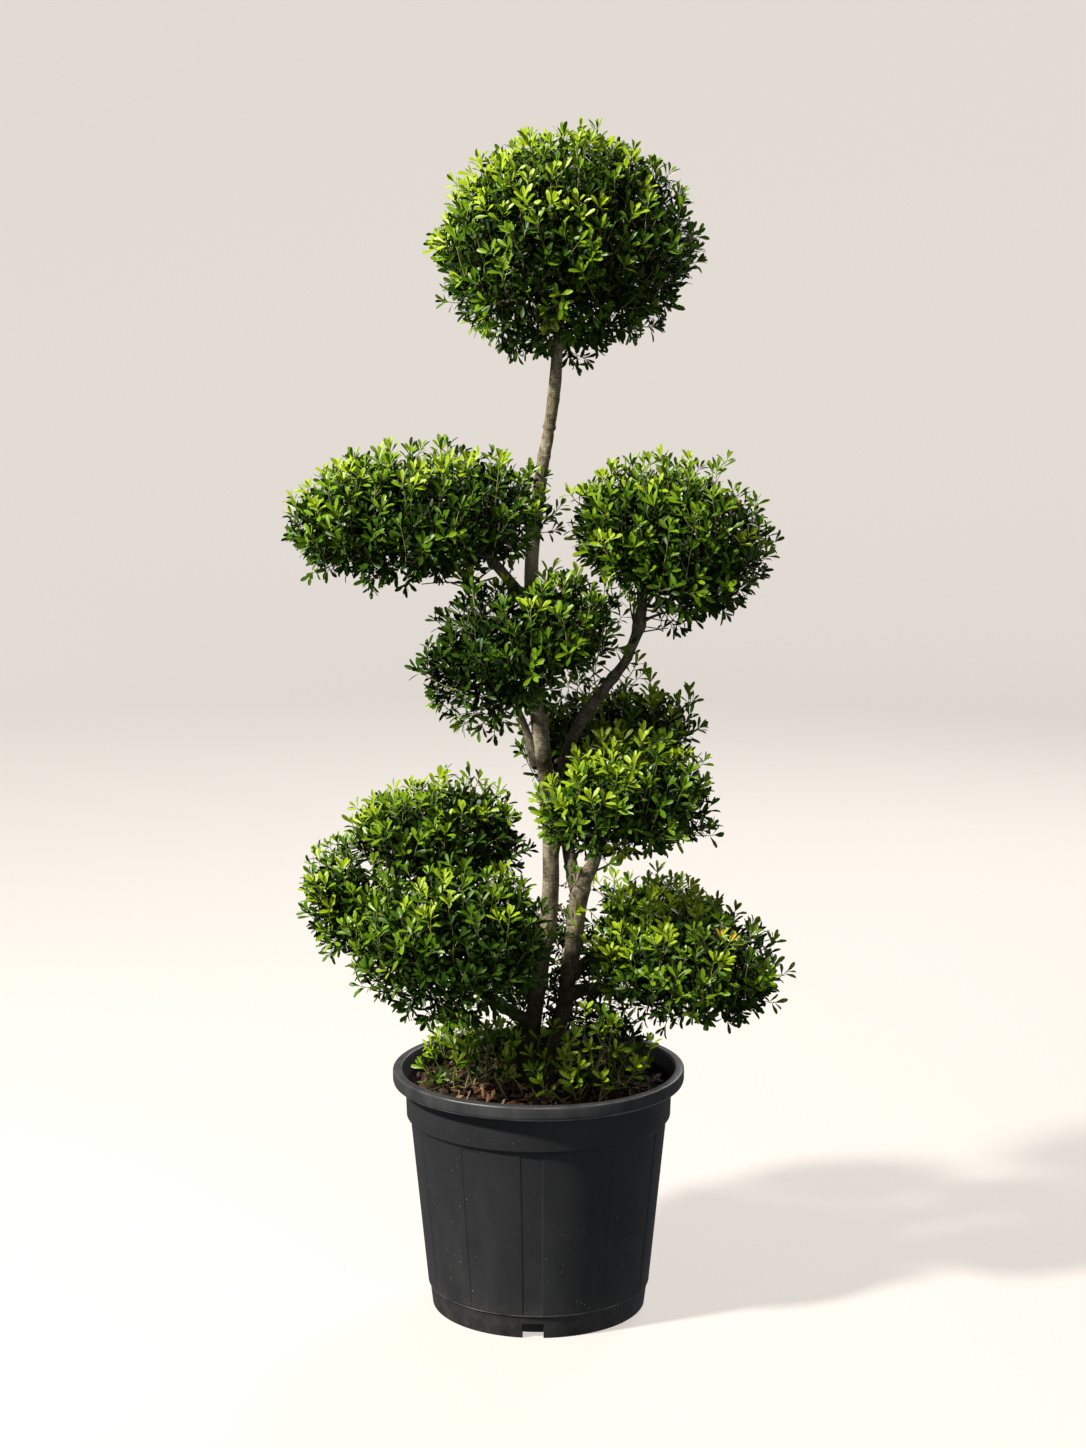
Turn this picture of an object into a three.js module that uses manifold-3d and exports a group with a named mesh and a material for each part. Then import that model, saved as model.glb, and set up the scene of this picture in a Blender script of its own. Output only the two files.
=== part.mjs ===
// A cloud-pruned japanese holly (Ilex crenata) growing in a round black nursery pot.
//
// Millimetres, +Z up. The origin is the centre of the pot's flat underside, and -Y is the
// plant's face. Two stems rise from one flared foot in the soil. Short boughs leave them,
// and each ends inside a clipped cloud of leaves. Every limb, every cloud, the soil and
// the pot is a closed solid of its own.
import * as THREE from "three";
import { mergeVertices } from "three/addons/utils/BufferGeometryUtils.js";
import Module from "manifold-3d";

// ---------------------------------------------------------------- driving dimensions
const RIM_RADIUS = 200; // outside of the rolled rim
const RIM_TOP = 335; // height of the pot
const RIM_DEPTH = 19.5; // how far the rim hangs down
const COLLAR_RADIUS = 183; // plain band under the rim
const COLLAR_FOOT = 271; // height where the collar steps in to the wall
const WALL_TOP_RADIUS = 175.3;
const BAND_RADIUS = 153; // wall just above the foot band
const BAND_HEIGHT = 32; // foot band
const FOOT_RADIUS = 147; // outside of the standing ring
const WALL = 3; // thickness of the moulded wall
const CHANNEL_HEIGHT = 22.5; // drain channel inside the standing ring
const BASE_RADIUS = 126; // flat underside, which touches the ground
const POT_SIDES = 36;
const NOTCHES = 4; // drain notches in the standing ring
const NOTCH_WIDTH = 28.5;
const NOTCH_HEIGHT = 21;
const NOTCH_TURN = -2.9; // degrees from the plant's face
const SOIL_TOP = 306;
const SOIL_GAP = 0.5; // between soil and pot
const GAP = 0.4; // between a limb and what is cut round it
const BARK_WAVE = 0.05; // unevenness of a limb, as a part of its radius
const LEAF_WAVE = 0.045; // unevenness of a cloud, as a part of its radius

// Limbs: [x, y, z, radius] from foot to tip. Each is one tapering limb on a smooth curve.
// The second of a pair of touching limbs is cut back to the first, so they are listed from
// the parent outwards.
const LIMBS = {
  trunk: {
    sides: 10,
    steps: 28,
    flare: 0.4,
    path: [
      [-9, -9, 290, 20],
      [-10, -9, 330, 18],
      [-11, -9, 356, 16.2],
      [-11.5, -9, 376, 14],
      [-8.5, -8, 396, 12.2],
      [-5, -7, 416, 11.3],
      [-1.5, -5, 440, 11.3],
      [2, -3, 468, 11.4],
      [7, 0, 500, 11.5],
      [12, 2, 530, 11.6],
      [15.5, 3, 564, 11.3],
      [16.2, 3, 600, 11.1],
      [16.5, 2, 660, 11],
      [11.5, 2, 728, 10.8],
      [7, 1, 756, 11.1],
      [3.5, 1, 785, 11.3],
      [0.5, 0, 815, 11.6],
      [-4, -1, 880, 11.5],
      [-7.5, -1, 960, 10.4],
      [-9.4, 0, 1018, 9.4],
      [-5, 2, 1075, 9],
      [2.5, 5, 1133, 8.4],
      [7, 5, 1163, 8.2],
      [12, 4, 1189, 7.9],
      [16, 2, 1215, 7.8],
      [19.4, 1, 1241, 7.8],
      [22.2, 0, 1267, 8],
      [24, 0, 1295, 7.6],
      [27, -1, 1345, 6.3],
    ],
  },
  stem_second: {
    sides: 9,
    steps: 13,
    flare: 0.3,
    path: [
      [4, -9, 290, 13.5],
      [7, -9, 330, 12.6],
      [12, -8, 356, 11.8],
      [18.5, -6, 371, 11.4],
      [23.5, -4, 384, 11.4],
      [30, -2, 401, 11.7],
      [35.5, 0, 416, 11.2],
      [38.2, 1, 440, 10.9],
      [41, 1, 462, 11],
      [47.5, 2, 500, 11.4],
      [50, 2, 526, 12.2],
      [54.5, 2, 566, 12.8],
      [57, 2, 586, 12.8],
      [57, 1, 602, 11],
    ],
  },
  bough_upper_right: {
    sides: 8,
    steps: 14,
    path: [
      [55, 4, 578, 9],
      [45, 10, 610, 8.9],
      [38, 18, 655, 8.6],
      [34, 25, 705, 8.4],
      [37, 28, 753, 8.3],
      [43, 29, 776, 8.4],
      [55, 31, 803, 8.4],
      [66, 32, 820, 8.4],
      [83, 34, 843, 8],
      [97, 35, 862, 6.9],
      [110, 35, 878, 6.6],
      [120, 34, 893, 6.5],
      [126, 32, 909, 6.6],
      [132, 30, 925, 7],
      [136, 28, 940, 7.6],
      [140, 23, 984, 7.4],
    ],
  },
  bough_mid_right: {
    sides: 7,
    steps: 6,
    path: [
      [58, 0, 590, 9],
      [72, -8, 615, 8.7],
      [80, -27, 641, 8],
      [86, -48, 668, 7.2],
      [90, -58, 682, 6.6],
    ],
  },
  bough_back_right: {
    sides: 7,
    steps: 6,
    path: [
      [16, 4, 690, 8.2],
      [20, 34, 703, 7.8],
      [34, 66, 721, 7.1],
      [52, 92, 737, 6.3],
    ],
  },
  bough_center: {
    sides: 7,
    steps: 6,
    path: [
      [2, -1, 763, 7.4],
      [-7, -5, 782, 6.4],
      [-12, -9, 799, 5.6],
      [-17, -14, 820, 5],
      [-26, -22, 835, 4.7],
      [-38, -32, 847, 4.4],
      [-55, -50, 864, 4],
    ],
  },
  bough_upper_left: {
    sides: 7,
    steps: 6,
    path: [
      [-8, -2, 960, 8.2],
      [-24, -19, 985, 7.4],
      [-54, -46, 1025, 6.5],
      [-72, -55, 1046, 5.8],
    ],
  },
  bough_left_back: {
    sides: 7,
    steps: 6,
    path: [
      [-3, -5, 424, 9.2],
      [-19, 13, 446, 8.6],
      [-50, 40, 482, 8.1],
      [-92, 64, 524, 7.3],
      [-118, 77, 558, 6.5],
    ],
  },
  bough_left_front: {
    sides: 7,
    steps: 6,
    path: [
      [-9, -9, 394, 8.8],
      [-24, -34, 412, 8.2],
      [-53, -66, 438, 7.3],
      [-76, -90, 466, 6.5],
    ],
  },
  bough_lower_right: {
    sides: 7,
    steps: 6,
    path: [
      [38, 0, 434, 8.8],
      [72, -18, 447, 7.9],
      [116, -32, 446, 7.3],
      [150, -40, 440, 6.9],
      [176, -47, 450, 6.2],
    ],
  },
  bough_lower_right_back: {
    sides: 7,
    steps: 5,
    path: [
      [41, 2, 458, 8],
      [68, 27, 476, 7.3],
      [100, 56, 496, 6.6],
      [126, 74, 510, 5.9],
    ],
  },
};

// Clouds of leaves: the middle, and how far each reaches to the left, right, front, back,
// top and underside of it. power squares the outline, and lean lowers the right side, in
// degrees. A cloud with lobes is those lobes joined.
const CLOUDS = {
  foliage_top: {
    lobes: [
      {
        at: [31, 0, 1440],
        reach: [178, 174, 168, 168, 155, 150],
        power: 2.05,
        lean: 0,
        detail: 4,
        seed: 11,
      },
    ],
  },
  foliage_upper_left: {
    lobes: [
      {
        at: [-163, -50, 1086],
        reach: [168, 170, 112, 108, 98, 92],
        power: 2.25,
        lean: -4,
        detail: 3,
        seed: 12,
      },
    ],
  },
  foliage_upper_right: {
    lobes: [
      {
        at: [178, -28, 1060],
        reach: [148, 128, 118, 112, 108, 116],
        power: 2.1,
        lean: 17,
        detail: 3,
        seed: 13,
      },
    ],
  },
  foliage_center: {
    lobes: [
      {
        at: [-25, -95, 925],
        reach: [134, 136, 96, 90, 96, 90],
        power: 2.05,
        lean: -21,
        detail: 3,
        seed: 14,
      },
    ],
  },
  foliage_back_right: {
    lobes: [
      {
        at: [95, 125, 766],
        reach: [126, 126, 88, 86, 78, 74],
        power: 2.1,
        lean: -8,
        detail: 3,
        seed: 15,
      },
    ],
  },
  foliage_mid_right: {
    lobes: [
      {
        at: [108, -105, 723],
        reach: [130, 128, 98, 88, 90, 84],
        power: 2.05,
        lean: -4,
        detail: 3,
        seed: 16,
      },
    ],
  },
  foliage_left_back: {
    lobes: [
      {
        at: [-150, 92, 630],
        reach: [134, 132, 96, 100, 95, 92],
        power: 2.1,
        lean: -10,
        detail: 3,
        seed: 17,
      },
      {
        at: [-246, 48, 556],
        reach: [90, 92, 84, 88, 88, 88],
        power: 2.1,
        lean: 0,
        detail: 3,
        seed: 18,
      },
    ],
  },
  foliage_left_front: {
    lobes: [
      {
        at: [-108, -130, 533],
        reach: [136, 134, 104, 96, 107, 102],
        power: 2.1,
        lean: -3,
        detail: 3,
        seed: 19,
      },
    ],
  },
  foliage_right_front: {
    lobes: [
      {
        at: [194, -62, 488],
        reach: [136, 136, 108, 92, 78, 80],
        power: 2.15,
        lean: 10,
        detail: 3,
        seed: 20,
      },
    ],
  },
  foliage_right_back: {
    lobes: [
      {
        at: [172, 100, 526],
        reach: [94, 94, 76, 80, 52, 58],
        power: 2.1,
        lean: 7,
        detail: 3,
        seed: 21,
      },
    ],
  },
  foliage_foot_left: {
    lobes: [
      {
        at: [-88, -6, 338],
        reach: [78, 82, 62, 78, 72, 60],
        power: 2.2,
        lean: 0,
        detail: 3,
        seed: 22,
      },
    ],
  },
  foliage_foot_right: {
    lobes: [
      {
        at: [88, -8, 342],
        reach: [84, 80, 66, 78, 78, 60],
        power: 2.2,
        lean: 0,
        detail: 3,
        seed: 23,
      },
    ],
  },
};

// ---------------------------------------------------------------- solids
const wasm = await Module();
wasm.setup();

// A closed geometry as a solid: only positions are kept, shared corners are joined, and
// the slivers where a lathe meets its axis are dropped.
function solidOf(geometry) {
  const bare = geometry.clone();
  bare.deleteAttribute("normal");
  bare.deleteAttribute("uv");
  const merged = mergeVertices(bare, 1e-4);
  const index = merged.index.array;
  const keep = [];
  for (let i = 0; i < index.length; i += 3) {
    const [a, b, c] = [index[i], index[i + 1], index[i + 2]];
    if (a !== b && b !== c && c !== a) keep.push(a, b, c);
  }
  return new wasm.Manifold(
    new wasm.Mesh({
      numProp: 3,
      vertProperties: Float32Array.from(merged.attributes.position.array),
      triVerts: Uint32Array.from(keep),
    }),
  );
}

// The largest body of a solid, as an indexed geometry.
function geometryOf(solid) {
  const bodies = solid.decompose().sort((a, b) => b.volume() - a.volume());
  const mesh = bodies[0].getMesh();
  const count = mesh.vertProperties.length / mesh.numProp;
  const position = new Float32Array(count * 3);
  for (let i = 0; i < count; i++)
    for (let k = 0; k < 3; k++)
      position[i * 3 + k] = mesh.vertProperties[i * mesh.numProp + k];
  const geometry = new THREE.BufferGeometry();
  geometry.setAttribute("position", new THREE.BufferAttribute(position, 3));
  geometry.setIndex(new THREE.BufferAttribute(Uint32Array.from(mesh.triVerts), 1));
  geometry.computeVertexNormals();
  return geometry;
}

// Numbers from 0 to 1 that are the same for the same seed.
function numbers(seed) {
  let state = seed >>> 0;
  return () => {
    state = (state + 0x6d2b79f5) >>> 0;
    let t = state;
    t = Math.imul(t ^ (t >>> 15), t | 1);
    t ^= t + Math.imul(t ^ (t >>> 7), t | 61);
    return ((t ^ (t >>> 14)) >>> 0) / 4294967296;
  };
}

// A smooth wave over directions or points, between about -1 and 1.
function wave(seed, count, pitch) {
  const next = numbers(seed);
  const parts = Array.from({ length: count }, () => {
    const z = 2 * next() - 1;
    const turn = 2 * Math.PI * next();
    const flat = Math.sqrt(1 - z * z);
    const size = pitch * (0.7 + 0.6 * next());
    return [
      new THREE.Vector3(flat * Math.cos(turn), flat * Math.sin(turn), z).multiplyScalar(size),
      2 * Math.PI * next(),
    ];
  });
  return (p) =>
    parts.reduce((sum, [v, phase]) => sum + Math.cos(v.dot(p) + phase), 0) /
    Math.sqrt(count * 1.3);
}

// A tapering limb along its path. grow makes the slightly larger cutter of the same limb.
function limb({ path, sides, steps, flare = 0 }, seed, grow = 0) {
  const curve = new THREE.CatmullRomCurve3(
    path.map(([x, y, z]) => new THREE.Vector3(x, y, z)),
    false,
    "centripetal",
  );
  curve.arcLengthDivisions = 400;
  const frames = curve.computeFrenetFrames(steps, false);
  const uneven = wave(seed, 6, 0.09);
  const geometry = new THREE.CylinderGeometry(1, 1, 1, sides, steps, false);
  const position = geometry.attributes.position;
  const p = new THREE.Vector3();
  for (let i = 0; i < position.count; i++) {
    const [x, y, z] = [position.getX(i), position.getY(i), position.getZ(i)];
    const step = Math.round((y + 0.5) * steps);
    const u = step / steps;
    const at = curve.getPointAt(u);
    const along = curve.getUtoTmapping(u) * (path.length - 1);
    const low = Math.min(Math.floor(along), path.length - 2);
    let radius = THREE.MathUtils.lerp(path[low][3], path[low + 1][3], along - low);
    const turn = Math.atan2(z, x);
    const side = Math.hypot(x, z) < 0.5 ? 0 : 1;
    // the foot spreads into a few low buttresses over the soil
    const rise = Math.max(0, 1 - Math.max(0, at.z - SOIL_TOP) / 70);
    radius *= 1 + flare * rise * rise * (1 + 0.35 * Math.cos(3 * turn + 0.8));
    p.copy(at)
      .addScaledVector(frames.normals[step], x)
      .addScaledVector(frames.binormals[step], -z);
    radius *= 1 + BARK_WAVE * uneven(p);
    radius += grow * 1.35;
    const push = step === 0 ? -grow : step === steps ? grow : 0;
    p.copy(at)
      .addScaledVector(frames.normals[step], side * x * radius)
      .addScaledVector(frames.binormals[step], -side * z * radius)
      .addScaledVector(frames.tangents[step], push);
    position.setXYZ(i, p.x, p.y, p.z);
  }
  return solidOf(geometry);
}

// One lobe of a cloud. grow makes the slightly larger cutter of the same lobe.
function lobe({ at, reach, power, lean, detail, seed }, grow = 0) {
  const [left, right, front, back, up, down] = reach;
  const uneven = wave(seed, 9, 4.2);
  const geometry = new THREE.IcosahedronGeometry(1, detail);
  const position = geometry.attributes.position;
  const turn = THREE.MathUtils.degToRad(lean);
  const d = new THREE.Vector3();
  const axis = new THREE.Vector3(0, 1, 0);
  for (let i = 0; i < position.count; i++) {
    d.fromBufferAttribute(position, i).normalize();
    const size =
      Math.pow(
        Math.pow(Math.abs(d.x) / (d.x < 0 ? left : right), power) +
          Math.pow(Math.abs(d.y) / (d.y < 0 ? front : back), power) +
          Math.pow(Math.abs(d.z) / (d.z < 0 ? down : up), power),
        -1 / power,
      ) *
        (1 + LEAF_WAVE * uneven(d)) +
      grow;
    d.multiplyScalar(size).applyAxisAngle(axis, turn);
    position.setXYZ(i, d.x + at[0], d.y + at[1], d.z + at[2]);
  }
  return solidOf(geometry);
}

// A block from its lowest and highest corners.
function block(low, high) {
  const size = high.map((v, k) => v - low[k]);
  const geometry = new THREE.BoxGeometry(...size);
  geometry.translate(...high.map((v, k) => (v + low[k]) / 2));
  return geometry;
}

// A turned solid from its [radius, height] profile, which starts and ends on the axis.
function turned(profile) {
  const geometry = new THREE.LatheGeometry(
    profile.map(([r, z]) => new THREE.Vector2(r, z)),
    POT_SIDES,
  );
  geometry.rotateX(Math.PI / 2);
  return solidOf(geometry);
}

const root = new THREE.Group();
root.name = "japanese_holly_topiary";
function add(name, solid, material) {
  const mesh = new THREE.Mesh(geometryOf(solid), material);
  mesh.name = name;
  root.add(mesh);
}

const POT_MATERIAL = new THREE.MeshStandardMaterial({
  color: 0x34363a,
  roughness: 0.55,
  metalness: 0,
});
const SOIL_MATERIAL = new THREE.MeshStandardMaterial({
  color: 0x3a2a20,
  roughness: 0.95,
  metalness: 0,
});
const BARK_MATERIAL = new THREE.MeshStandardMaterial({
  color: 0x7c7264,
  roughness: 0.85,
  metalness: 0,
});
const LEAF_MATERIAL = new THREE.MeshStandardMaterial({
  color: 0x4c7a1c,
  roughness: 0.5,
  metalness: 0,
});

// ---------------------------------------------------------------- pot
// One moulding: a flat underside and a standing ring on the ground, a narrow drain channel
// between them, a tapering wall, a collar, and a rolled rim.
const channelTop = CHANNEL_HEIGHT + WALL;
const inner = {
  collarTop: [COLLAR_RADIUS - WALL + 1, RIM_TOP - RIM_DEPTH],
  collarFoot: [COLLAR_RADIUS - WALL - 1.2, COLLAR_FOOT + 1],
  wallTop: [WALL_TOP_RADIUS - WALL, COLLAR_FOOT - 12.5],
  wallFoot: [BAND_RADIUS - WALL, BAND_HEIGHT + 1.5],
  corner: [BAND_RADIUS - WALL - 3.5, channelTop],
  baseLip: [BASE_RADIUS - 1, channelTop],
  baseFoot: [BASE_RADIUS - WALL, WALL],
};
let pot = turned([
  [0, 0],
  [BASE_RADIUS, 0],
  [BASE_RADIUS + 2, CHANNEL_HEIGHT],
  [FOOT_RADIUS - WALL - 1.5, CHANNEL_HEIGHT],
  [FOOT_RADIUS - WALL - 0.5, 0],
  [FOOT_RADIUS, 0],
  [BAND_RADIUS - 2, BAND_HEIGHT - 1],
  [BAND_RADIUS, BAND_HEIGHT + 1.5],
  [WALL_TOP_RADIUS, COLLAR_FOOT - 13],
  [COLLAR_RADIUS - 1.5, COLLAR_FOOT],
  [COLLAR_RADIUS, RIM_TOP - RIM_DEPTH],
  [RIM_RADIUS - 2, RIM_TOP - RIM_DEPTH],
  [RIM_RADIUS, RIM_TOP - RIM_DEPTH + 2],
  [RIM_RADIUS, RIM_TOP - 2],
  [RIM_RADIUS - 2, RIM_TOP],
  [RIM_RADIUS - 11.5, RIM_TOP],
  [RIM_RADIUS - 13.5, RIM_TOP - 3],
  inner.collarTop,
  inner.collarFoot,
  inner.wallTop,
  inner.wallFoot,
  inner.corner,
  inner.baseLip,
  inner.baseFoot,
  [0, WALL],
]);
for (let i = 0; i < NOTCHES; i++) {
  const notch = block(
    [-NOTCH_WIDTH / 2, -FOOT_RADIUS - 12, -5],
    [NOTCH_WIDTH / 2, -FOOT_RADIUS + 16, NOTCH_HEIGHT],
  );
  notch.rotateZ(THREE.MathUtils.degToRad(NOTCH_TURN + (360 / NOTCHES) * i));
  pot = pot.subtract(solidOf(notch));
}
add("pot", pot, POT_MATERIAL);

// ---------------------------------------------------------------- soil
// It fills the pot to a little under the rim.
const tuck = ([r, z], up = 0) => [r - SOIL_GAP, z + up];
const rimward =
  inner.collarFoot[0] +
  ((inner.collarTop[0] - inner.collarFoot[0]) * (SOIL_TOP - inner.collarFoot[1])) /
    (inner.collarTop[1] - inner.collarFoot[1]);
const soil = turned([
  [0, WALL + SOIL_GAP],
  tuck(inner.baseFoot, SOIL_GAP),
  tuck(inner.baseLip, SOIL_GAP),
  tuck(inner.corner, SOIL_GAP),
  tuck(inner.wallFoot, SOIL_GAP),
  tuck(inner.wallTop),
  tuck(inner.collarFoot),
  [rimward - SOIL_GAP, SOIL_TOP],
  [0, SOIL_TOP],
]);
add("soil", soil, SOIL_MATERIAL);

// ---------------------------------------------------------------- limbs
// Everything that grows ends in a flat cut just above the soil.
const ground = solidOf(block([-400, -400, 0], [400, 400, SOIL_TOP + 0.3]));
const cutters = [];
for (const [name, shape] of Object.entries(LIMBS)) {
  const seed = 100 + cutters.length;
  let solid = limb(shape, seed).subtract(ground);
  for (const cutter of cutters) solid = solid.subtract(cutter);
  cutters.push(limb(shape, seed, GAP));
  add(name, solid, BARK_MATERIAL);
}

// ---------------------------------------------------------------- clouds of leaves
const grown = [];
for (const [name, { lobes }] of Object.entries(CLOUDS)) {
  let solid = lobe(lobes[0]);
  for (const more of lobes.slice(1)) solid = solid.add(lobe(more));
  solid = solid.subtract(ground);
  for (const cutter of [...cutters, ...grown]) solid = solid.subtract(cutter);
  for (const one of lobes) grown.push(lobe(one, 2 * GAP));
  add(name, solid, LEAF_MATERIAL);
}

export default root;
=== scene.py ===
import math

import bpy
import numpy as np
from mathutils import Matrix, Vector
from mathutils.kdtree import KDTree


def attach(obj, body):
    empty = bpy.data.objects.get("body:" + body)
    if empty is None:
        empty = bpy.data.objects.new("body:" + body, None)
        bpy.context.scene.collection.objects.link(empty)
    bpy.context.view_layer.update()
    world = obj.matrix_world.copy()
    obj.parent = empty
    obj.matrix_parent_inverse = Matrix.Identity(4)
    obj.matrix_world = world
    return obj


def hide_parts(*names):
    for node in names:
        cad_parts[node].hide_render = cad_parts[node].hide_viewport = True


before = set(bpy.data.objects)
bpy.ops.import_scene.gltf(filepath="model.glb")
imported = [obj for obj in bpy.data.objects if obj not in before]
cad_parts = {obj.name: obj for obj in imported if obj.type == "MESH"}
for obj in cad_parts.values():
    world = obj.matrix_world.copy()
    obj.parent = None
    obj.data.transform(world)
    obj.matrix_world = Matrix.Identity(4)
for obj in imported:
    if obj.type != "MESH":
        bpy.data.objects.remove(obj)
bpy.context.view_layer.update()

MM = 0.001
SOIL = 0.306
UP = np.array([0.0, 0.0, 1.0])

# ------------------------------------------------------------------ sizes, as in the frame
# limbs: x, y, z, radius in millimetres
LIMBS = {
    "trunk": [
        (-9, -9, 290, 20), (-10, -9, 330, 18), (-11, -9, 356, 16.2), (-11.5, -9, 376, 14),
        (-8.5, -8, 396, 12.2), (-5, -7, 416, 11.3), (-1.5, -5, 440, 11.3), (2, -3, 468, 11.4),
        (7, 0, 500, 11.5), (12, 2, 530, 11.6), (15.5, 3, 564, 11.3), (16.2, 3, 600, 11.1),
        (16.5, 2, 660, 11), (11.5, 2, 728, 10.8), (7, 1, 756, 11.1), (3.5, 1, 785, 11.3),
        (0.5, 0, 815, 11.6), (-4, -1, 880, 11.5), (-7.5, -1, 960, 10.4), (-9.4, 0, 1018, 9.4),
        (-5, 2, 1075, 9), (2.5, 5, 1133, 8.4), (7, 5, 1163, 8.2), (12, 4, 1189, 7.9),
        (16, 2, 1215, 7.8), (19.4, 1, 1241, 7.8), (22.2, 0, 1267, 8), (24, 0, 1295, 7.6),
        (27, -1, 1345, 6.3),
    ],
    "stem_second": [
        (4, -9, 290, 13.5), (7, -9, 330, 12.6), (12, -8, 356, 11.8), (18.5, -6, 371, 11.4),
        (23.5, -4, 384, 11.4), (30, -2, 401, 11.7), (35.5, 0, 416, 11.2), (38.2, 1, 440, 10.9),
        (41, 1, 462, 11), (47.5, 2, 500, 11.4), (50, 2, 526, 12.2), (54.5, 2, 566, 12.8),
        (57, 2, 586, 12.8), (57, 1, 602, 11),
    ],
    "bough_upper_right": [
        (55, 4, 578, 9), (45, 10, 610, 8.9), (38, 18, 655, 8.6), (34, 25, 705, 8.4),
        (37, 28, 753, 8.3), (43, 29, 776, 8.4), (55, 31, 803, 8.4), (66, 32, 820, 8.4),
        (83, 34, 843, 8), (97, 35, 862, 6.9), (110, 35, 878, 6.6), (120, 34, 893, 6.5),
        (126, 32, 909, 6.6), (132, 30, 925, 7), (136, 28, 940, 7.6), (140, 23, 984, 7.4),
    ],
    "bough_mid_right": [
        (58, 0, 590, 9), (72, -8, 615, 8.7), (80, -27, 641, 8), (86, -48, 668, 7.2),
        (90, -58, 682, 6.6),
    ],
    "bough_back_right": [
        (16, 4, 690, 8.2), (20, 34, 703, 7.8), (34, 66, 721, 7.1), (52, 92, 737, 6.3),
    ],
    "bough_center": [
        (-3, 5, 752, 6.4), (-9, 3, 772, 5.8), (-13, 1, 788, 5.4), (-18, -5, 805, 5.0),
        (-24, -12, 821, 4.7), (-31, -20, 836, 4.5), (-41, -32, 849, 4.3), (-55, -50, 864, 4),
    ],
    "bough_upper_left": [
        (-8, -2, 960, 8.2), (-24, -19, 985, 7.4), (-54, -46, 1025, 6.5),
        (-72, -55, 1046, 5.8),
    ],
    "bough_left_back": [
        (-3, -5, 424, 9.2), (-19, 13, 446, 8.6), (-50, 40, 482, 8.1), (-92, 64, 524, 7.3),
        (-118, 77, 558, 6.5),
    ],
    "bough_left_front": [
        (-9, -9, 394, 8.8), (-24, -34, 412, 8.2), (-53, -66, 438, 7.3), (-76, -90, 466, 6.5),
    ],
    "bough_lower_right": [
        (38, 0, 434, 8.8), (72, -18, 447, 7.9), (116, -32, 446, 7.3), (150, -40, 440, 6.9),
        (176, -47, 450, 6.2),
    ],
    "bough_lower_right_back": [
        (41, 2, 458, 8), (68, 27, 476, 7.3), (100, 56, 496, 6.6), (126, 74, 510, 5.9),
    ],
}

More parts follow.
